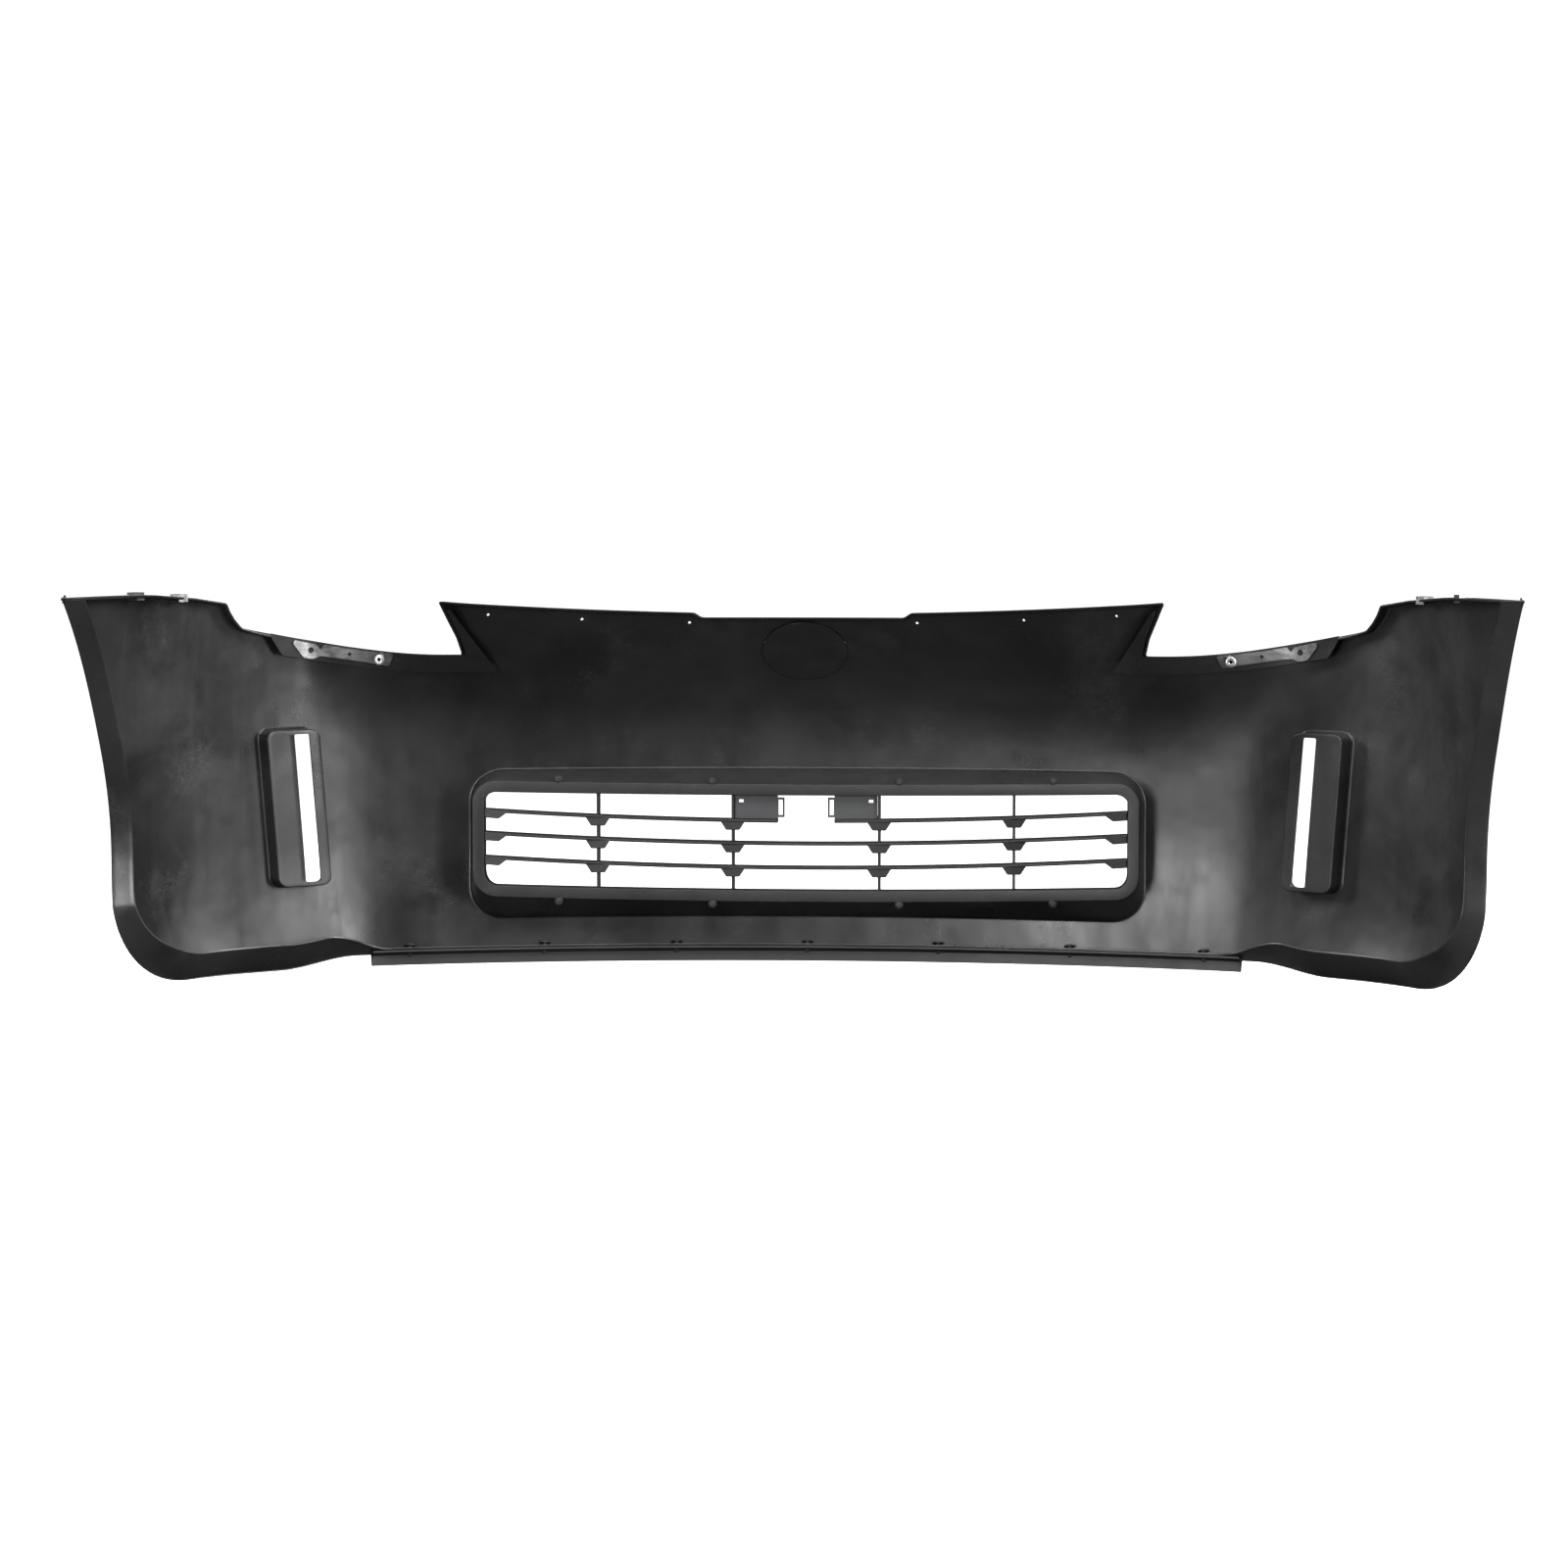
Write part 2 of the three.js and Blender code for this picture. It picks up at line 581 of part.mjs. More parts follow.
/** The second wall under the lamp lip, with the triangle that stiffens the horn. */
function apron(sign) {
  const deepEnd = lampInner.x - GUSSET_REACH;
  const line = [[deepEnd, lampInner.z - APRON_HEIGHT - 1]];
  for (let i = 1; i <= 8; i++) {
    const x = lerp(deepEnd, bracketOuter() + 14, i / 8);
    line.push([x, lampLip(x) - APRON_HEIGHT]);
  }
  line.push([line.at(-1)[0] + 12, lampLip(line.at(-1)[0]) - 4]);
  line.push([line.at(-1)[0], HEIGHT], [hornTip.x - 2, HEIGHT], [hornTip.x - 10, hornTip.z - 4]);
  const box = prism(place(line, sign), -2 * DEPTH, DEPTH);
  return box.intersect(evenSlab(TOP_RETURN - WALL, TOP_RETURN));
}

/** The returned edge along the bottom: shallow between the feet, deep and steep under them. */
function bottomReturn() {
  return ribbon(-LAST_STATION, LAST_STATION, COLUMNS, (s, across, inwards) => {
    const x = Math.abs(skinPoint(s, 20).x);
    const foot = smooth((x - footMiddle + FOOT_RAMP) / FOOT_RAMP);
    const deep = lerp(MIDDLE_RETURN, FOOT_RETURN, foot);
    const rise = lerp(MIDDLE_RETURN_RISE, FOOT_RETURN, foot);
    const thick = lerp(WALL, 1.4 * WALL, foot);
    const distance = lerp(WALL / 2, deep, inwards);
    return [distance, bottomEdge(x) + (rise * distance) / deep + thick * across];
  });
}

const seat = {
  z: HEIGHT - SEAT_DROP,
  normal: v3(0, -Math.cos(NOSE_SLOPE), -Math.sin(NOSE_SLOPE)),
};
const seatPoint = (x, z, inwards) =>
  v3(x, -skinSetback(0.01, z), z).addScaledVector(seat.normal, inwards);

function emblemSeat() {
  const start = seatPoint(0, seat.z, WALL / 2);
  return rod(start, seatPoint(0, seat.z, WALL + SEAT_STEP), SEAT_RADIUS, SEAT_RADIUS, 40);
}

function pinHoles() {
  const z = seat.z + SEAT_PIN.rise;
  return sides.map(({ sign }) => {
    const start = seatPoint(sign * SEAT_PIN.x, z, -12);
    return rod(start, seatPoint(sign * SEAT_PIN.x, z, 20), SEAT_PIN.radius, SEAT_PIN.radius, 10);
  });
}

/** Small holes for clips under the hood edge. */
function edgeHoles() {
  const holes = [];
  for (const { sign } of sides) {
    for (const x of EDGE_HOLES.stations) {
      holes.push(drill([x, hoodEdge(x) - EDGE_HOLES.drop], sign, EDGE_HOLES.radius, 8));
    }
  }
  return holes;
}

/** Where the lower lip's clips stand, and the direction of their axes. */
function clipPlaces() {
  const reach = lipReach() - CLIP_END;
  const places = [];
  for (let i = 0; i < CLIP_COUNT; i++) {
    const x = lerp(-reach, reach, i / (CLIP_COUNT - 1));
    const s = stationAt(x || 0.01, FOOT_RISE);
    const z = FOOT_RISE + (MIDDLE_RETURN_RISE * CLIP_INSET) / MIDDLE_RETURN;
    const outwards = skinPoint(s, z, 0).sub(skinPoint(s, z, 10)).normalize();
    const axis = outwards.multiplyScalar(MIDDLE_RETURN_RISE / MIDDLE_RETURN).add(v3(0, 0, 1));
    places.push({ foot: skinPoint(s, z, CLIP_INSET), axis: axis.normalize() });
  }
  return places;
}
const along = (place, distance) => place.foot.clone().addScaledVector(place.axis, distance);
const lipReach = () => footMiddle - FOOT_RAMP / 2 - LIP_END;

function screwBosses() {
  const front = frameRear - SCREW_LENGTH - 3;
  return screwPlaces().map((at) => screwRod(at, front, frameRear, 0.6 * EAR_RADIUS, EAR_RADIUS));
}

function screwHoles() {
  const radius = SCREW_RADIUS + GAP;
  return screwPlaces().map((at) => screwRod(at, frameRear - SCREW_LENGTH, frameRear + 9, radius));
}

function coverSkin() {
  let skin = slab(() => 0, levelWall);
  const arch = evenSlab(WALL / 2, ARCH_RETURN).intersect(behindArch(WALL));
  const top = evenSlab(WALL / 2, TOP_RETURN).intersect(aboveTop(WALL));
  skin = joinAll([skin, arch, top, bottomReturn(), emblemSeat()]);
  for (const { sign } of sides) skin = joinAll([skin, apron(sign), pocketSolid(sign)]);
  const mouth = prism(mouthOutline(-WALL), -DEPTH, DEPTH);
  skin = skin.subtract(mouth.intersect(evenSlab(-20, 30)));
  skin = joinAll([skin, funnel(), ...screwBosses()]);
  for (const { sign } of sides) skin = skin.subtract(pocketHollow(sign));
  skin = skin.subtract(aboveTop(0)).subtract(belowBottom()).subtract(behindArch(0));
  const rivetHoles = sides.map(({ sign }) => drill(bracketHoles().rivet, sign, RIVET_RADIUS + GAP));
  const behindLip = evenSlab(TOP_RETURN - 2 * WALL, TOP_RETURN + 9);
  skin = skin.subtract(joinAll(rivetHoles).intersect(behindLip));
  for (const hole of [...pinHoles(), ...edgeHoles(), ...screwHoles()]) skin = skin.subtract(hole);
  for (const spot of clipPlaces()) {
    skin = skin.subtract(rod(along(spot, -8), along(spot, 12), CLIP_RADIUS + GAP));
  }
  return skin;
}

// ---------------------------------------------------------------- the grille's pieces

/** The grille's frame: a hoop with a lip behind the funnel's edge, and an ear at each screw. */
function grilleFrame() {
  const outside = FRAME_WIDTH + WALL + 2;
  const ring = hoop([
    grilleLoop(FRAME_WIDTH, -frameRear),
    grilleLoop(FRAME_WIDTH, frameRear + GAP),
    grilleLoop(outside, frameRear + GAP),
    grilleLoop(outside, frameRear + 3),
    grilleLoop(0, frameRear + 3),
    grilleLoop(0, -frameRear),
  ]);
  const places = screwPlaces();
  const ears = places.map((at) => screwRod(at, frameRear + GAP, frameRear + 3, EAR_RADIUS));
  const holes = places.map((at) => screwRod(at, frameRear - 2, frameRear + 6, SCREW_RADIUS + GAP));
  return holes.reduce((frame, hole) => frame.subtract(hole), joinAll([ring, ...ears]));
}

const slatHeight = (row) => GRILLE_BOTTOM + SLAT_HEIGHTS[row];

/** A point of the grille at x, with a height and a depth from the middle plane. */
const grillePoint = (x, z, depth) => v3(x, -grilleSetback(x) - depth, z + grilleRise(x, z));

/** A block in the grille's own frame, bent with it. */
function grilleBlock(x0, x1, z0, z1, front, rear, steps = 1) {
  const geometry = new THREE.BoxGeometry(x1 - x0, z1 - z0, rear - front, steps, 1, 1);
  geometry.translate((x0 + x1) / 2, (z0 + z1) / 2, (front + rear) / 2);
  return solid(bend(geometry, (p) => grillePoint(p.x, p.y, p.z)));
}

/** The trapezoid under a slat where it crosses a rib, grown by a clearance. */
function knuckle(x, row, clearance) {
  const z = slatHeight(row) + grilleRise(x, slatHeight(row));
  const low = z - SLAT_THICKNESS / 2 - KNUCKLE.height - clearance;
  const points = [
    [x - KNUCKLE.top - clearance, z + clearance],
    [x - KNUCKLE.bottom - clearance, low],
    [x + KNUCKLE.bottom + clearance, low],
    [x + KNUCKLE.top + clearance, z + clearance],
  ];
  const rear = -grilleSetback(x) - SLAT_DEPTH / 2 + 1 - 4 * clearance;
  return prism(points, rear, -grilleSetback(x) - GAP / 2 - 3 + 2 * clearance);
}

/** A slat from x0 to x1: a flat oval section that follows the grille's bend and rise. */
function slat(row, x0, x1, ribs) {
  const z = slatHeight(row);
  const steps = Math.round((x1 - x0) / 45);
  const geometry = new THREE.CylinderGeometry(1, 1, x1 - x0, 8, steps);
  geometry.rotateZ(Math.PI / 2).translate((x0 + x1) / 2, 0, 0);
  const blade = bend(geometry, (p) => {
    const height = (p.y * SLAT_THICKNESS) / 2;
    return grillePoint(p.x, z, (p.z * SLAT_DEPTH) / 2).add(v3(0, 0, height));
  });
  let made = solid(blade);
  for (const x of ribs) made = made.add(knuckle(x, row, 0));
  for (const end of [x0, x1].filter((x) => Math.abs(x) > GRILLE_HALF / 2)) {
    const inner = end - Math.sign(end) * END_BLOCK.length;
    const [low, high] = [Math.min(end, inner), Math.max(end, inner)];
    const drop = END_BLOCK.height - SLAT_THICKNESS / 2;
    made = made.add(grilleBlock(low, high, z - drop, z + SLAT_THICKNESS / 2, -6, SLAT_DEPTH / 2 - 1));
  }
  for (const x of ribs) {
    const reach = RIB_THICKNESS / 2 + GAP;
    made = made.subtract(grilleBlock(x - reach, x + reach, z - 30, z + 30, -SLAT_DEPTH, GAP / 2));
  }
  return made;
}

const slatRows = ["upper", "middle", "lower"];
const slatEnd = GRILLE_HALF - GAP;
const ribStations = [-RIB_STATIONS.outer, -RIB_STATIONS.inner, RIB_STATIONS.inner, RIB_STATIONS.outer];

/** The half of a slat on one side: the upper ones start at the plate bracket's inner edge. */
function halfSlat(row, sign) {
  const ribs = ribStations.filter((x) => x * sign > 0);
  const inner = row === "upper" ? PLATE_INNER : GAP / 2;
  return sign > 0 ? slat(row, inner, slatEnd, ribs) : slat(row, -slatEnd, -inner, ribs);
}

/** An upright rib, notched from behind where each slat and its knuckle cross it. */
function rib(x) {
  const reach = RIB_THICKNESS / 2;
  const top = GRILLE_BOTTOM + GRILLE_HEIGHT - GAP;
  let made = grilleBlock(x - reach, x + reach, GRILLE_BOTTOM + GAP, top, -11, 11);
  for (const row of slatRows) {
    const z = slatHeight(row);
    const slot = SLAT_THICKNESS / 2 + GAP;
    made = made.subtract(grilleBlock(x - 9, x + 9, z - slot, z + slot, -GAP / 2, 30));
    made = made.subtract(knuckle(x, row, GAP));
  }
  return made;
}

/** One number-plate bracket: a tab with a small hole and a looped hook at its inner edge. */
function plateBracket(sign) {
  const top = GRILLE_BOTTOM + GRILLE_HEIGHT - GAP;
  const bottom = slatHeight("upper") + SLAT_THICKNESS / 2 + GAP;
  const outer = RIB_STATIONS.inner - RIB_THICKNESS / 2 - GAP;
  const flip = (low, high, z0, z1, front, rear) => {
    const [x0, x1] = sign > 0 ? [low, high] : [-high, -low];
    return grilleBlock(x0, x1, z0, z1, front, rear);
  };
  const rear = 6;
  const front = rear - PLATE_THICKNESS;
  const hookInner = PLATE_INNER - PLATE_HOOK.reach;
  const loop = flip(hookInner, PLATE_INNER + 1, bottom + 2, top - 3, front, rear).subtract(
    flip(hookInner + PLATE_HOOK.bar, PLATE_INNER - 1, bottom + 5, top - 6, front - 5, rear + 5),
  );
  const holeTop = top - PLATE_HOLE.drop;
  const hole = flip(
    PLATE_HOLE.x - PLATE_HOLE.width,
    PLATE_HOLE.x,
    holeTop - PLATE_HOLE.height,
    holeTop,
    -20,
    20,
  );
  const foot = flip(PLATE_INNER, outer, bottom, bottom + 3, front - 10, rear);
  return flip(PLATE_INNER, outer, bottom, top, front, rear).add(loop).add(foot).subtract(hole);
}

function grilleScrew(at) {
  const seatDepth = frameRear + 3 + GAP;
  const tip = frameRear - SCREW_LENGTH + 2;
  const shank = screwRod(at, tip, seatDepth + 1, 0.7 * SCREW_RADIUS, SCREW_RADIUS, 8);
  return shank.add(screwRod(at, seatDepth, seatDepth + 2.4, SCREW_HEAD_RADIUS, 0.75 * SCREW_HEAD_RADIUS));
}

// ---------------------------------------------------------------- brackets, lip and clips

const bracketMiddle = () => (lampInner.x + lampOuter.x) / 2 + BRACKET_SHIFT;
const bracketInner = () => bracketMiddle() - BRACKET_LENGTH / 2;
const bracketOuter = () => bracketMiddle() + BRACKET_LENGTH / 2;
const bracketNear = TOP_RETURN + GAP;
const underLip = (x, drop) => [x, lampLip(x) - drop];
const bracketHoles = () => ({
  tab: underLip(bracketOuter() - BRACKET_TAB_HOLE.shift, BRACKET_TAB_HOLE.drop),
  small: underLip(bracketInner() + BRACKET_SMALL_HOLE.shift, BRACKET_SMALL_HOLE.drop),
  rivet: underLip(bracketInner() + BRACKET_RIVET_HOLE.shift, BRACKET_RIVET_HOLE.drop),
});

/** A hole along the car at [x, z]. */
const drill = ([x, z], sign, radius, segments = 12) =>
  rod(v3(sign * x, -DEPTH, z), v3(sign * x, DEPTH / 2, z), radius, radius, segments);

/** A sheet-metal strip under the lamp lip, with a wider tab at its outer end. */
function lampBracket(sign) {
  const x0 = bracketInner();
  const x1 = bracketOuter();
  const notch = x1 - BRACKET_NOTCH;
  const points = [[x0 + 8, lampLip(x0) - 18]];
  points.push([notch, lampLip(notch) - 17], [notch + 10, lampLip(x1) - 27]);
  points.push([x1 - 12, lampLip(x1) - 25], [x1, lampLip(x1) - 6], [x1 - 2, lampLip(x1) - 1.5]);
  points.push([notch + 5, lampLip(notch) - 1.5], [notch, lampLip(notch) - 9]);
  points.push([notch - 5, lampLip(notch) - 2]);
  for (let i = 1; i <= 3; i++) {
    const x = lerp(notch - 5, x0, i / 3);
    points.push([x, lampLip(x) - 2]);
  }
  const plate = evenSlab(bracketNear, bracketNear + BRACKET_THICKNESS);
  const holes = bracketHoles();
  return prism(place(points, sign), -2 * DEPTH, DEPTH)
    .intersect(plate)
    .subtract(drill(holes.tab, sign, BRACKET_TAB_HOLE.radius))
    .subtract(drill(holes.small, sign, BRACKET_SMALL_HOLE.radius))
    .subtract(drill(holes.rivet, sign, RIVET_RADIUS + GAP));
}

/** A tubular rivet through the lamp bracket and the apron, with a flange at each end. */
function lampRivet(sign) {
  const [x, z] = bracketHoles().rivet;
  const s = stationAt(x, z);
  const centre = skinPoint(s, z, TOP_RETURN);
  const near = centre.y + RIVET_REACH.front;
  const far = centre.y - RIVET_REACH.rear;
  const at = (y) => v3(sign * x, y, z);
  return rod(at(near), at(far), RIVET_RADIUS)
    .add(rod(at(near + RIVET_FLANGE_THICKNESS), at(near), RIVET_FLANGE))
    .add(rod(at(far), at(far - RIVET_FLANGE_THICKNESS), RIVET_FLANGE))
    .subtract(rod(at(near + BORE_OVERRUN), at(far - BORE_OVERRUN), RIVET_BORE, RIVET_BORE, 10));
}

/** The strip under the middle: a blade that hangs down, and a foot along the bottom return. */
function lowerLip() {
  const end = stationAt(lipReach(), FOOT_RISE);
  const slope = MIDDLE_RETURN_RISE / MIDDLE_RETURN;
  const blade = ribbon(-end, end, 26, (s, across, inwards) => {
    const distance = lerp(LIP_SETBACK, LIP_SETBACK + LIP_THICKNESS, inwards);
    const top = FOOT_RISE - GAP + slope * distance - 1;
    return [distance, lerp(FOOT_RISE - LIP_HEIGHT, top, across)];
  });
  const foot = ribbon(-end, end, 26, (s, across, inwards) => {
    const distance = lerp(LIP_SETBACK, MIDDLE_RETURN - 1, inwards);
    return [distance, FOOT_RISE - GAP + slope * distance - LIP_FOOT * (1 - across)];
  });
  const holes = clipPlaces().map((spot) => rod(along(spot, -12), along(spot, 8), CLIP_RADIUS + GAP));
  return holes.reduce((lip, hole) => lip.subtract(hole), blade.add(foot));
}

/** A push clip: a domed head above the bottom return and a barbed shank through the lip. */
function lipClip(spot) {
  const seatHeight = WALL + CLIP_STANDOFF;
  const crown = seatHeight + CLIP_HEAD_HEIGHT;
  return joinAll([
    rod(along(spot, seatHeight), along(spot, crown), CLIP_HEAD_RADIUS, CLIP_CROWN_RADIUS),
    rod(along(spot, CLIP_TIP.start - 1.2), along(spot, seatHeight + 1), CLIP_RADIUS),
    rod(along(spot, CLIP_TIP.end), along(spot, CLIP_TIP.start), CLIP_TIP.radius, CLIP_RADIUS),
  ]);
}

/** A spring nut that is pushed over the free edge of the fender's ledge. */
function nutClip(sign, station) {
  const x = half - station;
  const z = topHeightAt(x) - WALL / 2;
  const s = stationAt(x, z);
  const outer = skinPoint(s, z, TOP_RETURN + 3);
  const inner = skinPoint(s, z, TOP_RETURN + 3 - NUT_CLIP.depth);
  const run = inner.clone().sub(outer).setZ(0).normalize();
  const side = v3(-run.y, run.x, 0).multiplyScalar(NUT_CLIP.width / 2);
  const corners = [
    outer.clone().add(side),
    inner.clone().add(side),
    inner.clone().sub(side),
    outer.clone().sub(side),
  ];
  const shape = new THREE.Shape(corners.map((c) => new THREE.Vector2(sign * c.x, c.y)));
  const geometry = new THREE.ExtrudeGeometry(shape, { depth: NUT_CLIP.height, bevelEnabled: false });
  const body = solid(geometry.translate(0, 0, z - NUT_CLIP.height / 2));
  const band = aboveTop(WALL + NUT_PLAY).subtract(aboveTop(-NUT_PLAY));
  const hollow = evenSlab(-30, TOP_RETURN + NUT_PLAY).intersect(band);
  return body.subtract(hollow);
}

/** Height of the top edge at x, on the fender's part of it. */
function topHeightAt(x) {
  const line = topEdge();
  const i = line.findLastIndex(([px]) => px <= x);
  const [[x0, z0], [x1, z1]] = [line[i], line[i + 1]];
  return lerp(z0, z1, (x - x0) / (x1 - x0));
}

// ---------------------------------------------------------------- materials and assembly

const finish = (color, roughness, metalness = 0) =>
  new THREE.MeshStandardMaterial({ color, roughness, metalness });
const finishes = {
  skin: finish(0x17181a, 0.42),
  grille: finish(0x101112, 0.5),
  bracket: finish(0x3a3c3e, 0.6),
  steel: finish(0x9a9c9e, 0.38, 1),
  lip: finish(0x141516, 0.55),
  clip: finish(0x1c1d1f, 0.6),
};

const cover = new THREE.Group();

function addPiece(name, shape, material) {
  const { numProp, vertProperties, triVerts } = shape.getMesh();
  const points = new Float32Array((vertProperties.length / numProp) * 3);
  for (let i = 0; i * numProp < vertProperties.length; i++) {
    points.set(vertProperties.subarray(i * numProp, i * numProp + 3), i * 3);
  }
  const geometry = new THREE.BufferGeometry();
  geometry.setAttribute("position", new THREE.BufferAttribute(points, 3));
  geometry.setIndex(new THREE.BufferAttribute(new Uint32Array(triVerts), 1));
  geometry.computeVertexNormals();
  const mesh = new THREE.Mesh(geometry, material);
  mesh.name = name;
  cover.add(mesh);
}

addPiece("cover_skin", coverSkin(), finishes.skin);
addPiece("grille_frame", grilleFrame(), finishes.grille);
for (const { name, sign } of sides) {
  for (const row of slatRows) addPiece("slat_" + row + "_" + name, halfSlat(row, sign), finishes.grille);
  for (const [where, x] of Object.entries(RIB_STATIONS)) {
    addPiece("rib_" + where + "_" + name, rib(sign * x), finishes.grille);
  }
  addPiece("plate_bracket_" + name, plateBracket(sign), finishes.bracket);
  addPiece("lamp_bracket_" + name, lampBracket(sign), finishes.steel);
  addPiece("lamp_rivet_" + name, lampRivet(sign), finishes.steel);
  NUT_STATIONS.forEach((station, i) => {
    addPiece("fender_nut_" + name + "_" + (i + 1), nutClip(sign, station), finishes.steel);
  });
}
screwPlaces().forEach((at, i) => addPiece("grille_screw_" + (i + 1), grilleScrew(at), finishes.clip));
addPiece("lower_lip", lowerLip(), finishes.lip);
clipPlaces().forEach((spot, i) => addPiece("lip_clip_" + (i + 1), lipClip(spot), finishes.clip));

// The cover stands on its feet, with the middle of its box over the origin.
const box = new THREE.Box3().setFromObject(cover);
cover.position.set(-(box.min.x + box.max.x) / 2, -(box.min.y + box.max.y) / 2, -box.min.z);

export default cover;
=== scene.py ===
"""Front bumper cover of a sports coupe, standing on its feet and seen from behind.

The cover's wall, its returned edges, the mouth's funnel and the lamp pockets are surfaces
worked out from the same plan curve as the solid model. Metres, +Z up, +Y to the car's front.
"""

import math

import bpy
import numpy as np
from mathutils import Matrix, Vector


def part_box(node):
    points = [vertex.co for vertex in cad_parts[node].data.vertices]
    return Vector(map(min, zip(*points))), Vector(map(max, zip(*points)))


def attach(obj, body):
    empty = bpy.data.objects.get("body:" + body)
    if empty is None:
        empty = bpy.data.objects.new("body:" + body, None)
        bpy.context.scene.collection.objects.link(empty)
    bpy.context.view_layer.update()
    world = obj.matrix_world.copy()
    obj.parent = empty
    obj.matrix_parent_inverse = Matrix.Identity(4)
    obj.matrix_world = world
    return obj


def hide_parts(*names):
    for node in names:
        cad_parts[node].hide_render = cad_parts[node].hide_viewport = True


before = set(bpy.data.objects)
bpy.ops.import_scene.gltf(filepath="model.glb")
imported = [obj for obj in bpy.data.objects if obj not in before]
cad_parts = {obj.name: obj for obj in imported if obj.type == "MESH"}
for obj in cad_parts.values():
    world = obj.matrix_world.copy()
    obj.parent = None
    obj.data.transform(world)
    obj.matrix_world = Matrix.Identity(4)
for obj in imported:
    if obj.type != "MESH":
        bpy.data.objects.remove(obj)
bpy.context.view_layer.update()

# ------------------------------------------------------------------ sizes, in metres

WIDTH = 1.780
DEPTH = 0.560
HEIGHT = 0.506
WALL = 0.003
GAP = 0.0004

NOSE_SLOPE = math.radians(49)
BEND_HEIGHT = HEIGHT - 0.159
BEND_SOFTNESS = 0.040
HOOD_EDGE = 0.473
HOOD_EDGE_RISE = 0.018
HOOD_STEP = 0.005
HOOD_STEP_HALF = 0.133
HORN_BASE = 0.449
HORN_LEAN = 0.021
LAMP_INNER_HEIGHT = 0.418
LAMP_RISE = 0.038
LAMP_OUTER = 0.738
LAMP_SHOULDER = 0.033
FENDER_RISE = 0.017
TOP_RETURN = 0.020

ARCH_RADIUS = 0.420
ARCH_REACH = 0.334
ARCH_RETURN = 0.028
FOOT_CORNER = 0.110
FOOT_RISE = 0.013
FOOT_MIDDLE = WIDTH / 2 - 0.245
FOOT_RAMP = 0.090
FOOT_RETURN = 0.044
MIDDLE_RETURN = 0.020
MIDDLE_TILT = 0.45
FOOT_TILT = 0.85

FUNNEL_ROUND = 0.0022  # radius of the mouth's outer edge
MOUTH = {"half": 0.452, "bottom": 0.060, "top": 0.258, "corner": 0.042}
GRILLE = {"half": 0.428, "bottom": 0.099, "top": 0.227, "corner": 0.016}
GRILLE_SETBACK = 0.058
FRAME_WIDTH = 0.010
FRAME_REAR = 0.012
GRILLE_BOW = 0.2  # how far the grille bends back, per metre squared
SLATS = {"upper": 0.192, "middle": 0.1615, "lower": 0.129}
SLAT_DEPTH = 0.026
SLAT_THICKNESS = 0.005
SLAT_END = GRILLE["half"] - GAP
RIBS = {"outer": 0.278, "inner": 0.098}
RIB_THICKNESS = 0.004
PLATE_INNER = 0.038

LIP_FRONT = 0.005  # the lip's blade, from the cover's face inwards
LIP_BLADE = 0.0035
LIP_BACK = 0.019
LIP_FOOT = 0.003
CLIP_TILT = 0.4

POCKET = {"x": 0.680, "z": 0.2155, "half": 0.032, "rise": 0.104, "lean": 0.014, "corner": 0.012}
POCKET_SLOT = {"from_wall": 0.022, "half": 0.009, "end_gap": 0.006, "corner": 0.0025}
POCKET_POINTS = (16, 50, 8)  # points on a short side, a long side and a corner of its outline
POCKET_DEPTH = 0.028
SEAT_RADIUS = 0.059
SEAT_RISE = 0.0025
SEAT_ROUND = 0.0012
SEAT_HEIGHT = HEIGHT - 0.085
EDGE_ROUND = 0.0015  # radius of the cover's outer edges
EDGE_END = 0.0009  # radius at the end of a returned edge
EDGE_FILLET = 0.0025  # radius where a returned edge meets the wall's inner face
EDGE_LAP = 0.0036  # how far a returned edge reaches over the wall
RIM_LAP = 0.0035  # how far the rim of the mouth or of a pocket reaches over the wall
HOLE_LAP = 0.001  # how far the wall reaches under those rims
SUNK = 0.00003  # depth of a joined rim below the wall's surface
FILLET = 0.003  # radius where the funnel or a pocket meets the wall's inner face
QUARTER = math.pi / 2
SIDES = (("left", -1), ("right", 1))
SHARP_ANGLE = math.radians(35)  # faces that meet at more than this keep a sharp edge

# ------------------------------------------------------------------ the cover's surface


def smooth(t):
    """Smooth step: 3 t squared less 2 t cubed, with t held between 0 and 1."""
    t = np.clip(t, 0.0, 1.0)
    return t * t * (3 - 2 * t)


def heading(s):
    """Direction of the plan curve at station s: a steady turn of 36 degrees and two quicker ones."""
    degrees = 36 * s + 14 * smooth((s - 0.458) / 0.093) + 30 * smooth((s - 0.588) / 0.32)
    return np.radians(degrees)


def side_inset(z):
    """Inward lean of the sides: square of the height above 0.6 and of the drop below 170 mm."""
    return 0.4 * np.maximum(z - 0.6 * HEIGHT, 0) ** 2 + 0.8 * np.maximum(0.170 - z, 0) ** 2


def soft_ramp(x, width):
    """Half of x plus the root of x squared and width squared: zero, then a straight slope."""
    return 0.5 * (x + np.sqrt(x * x + width * width))


def nose_inset(z):
    """Inward lean of the nose: a softened 49 degree slope above the bend, and a tucked chin."""
    ramp = soft_ramp(z - BEND_HEIGHT, BEND_SOFTNESS) - soft_ramp(-BEND_HEIGHT, BEND_SOFTNESS)
    return math.tan(NOSE_SLOPE) * ramp + 0.6 * np.maximum(0.200 - z, 0) ** 2


def inset(s, z):
    """Nose lean in the middle and side lean at the ends, blended smoothly between them."""
    nose = 1 - smooth((np.abs(s) - 0.395) / 0.193)
    return nose * nose_inset(z) + (1 - nose) * side_inset(z)


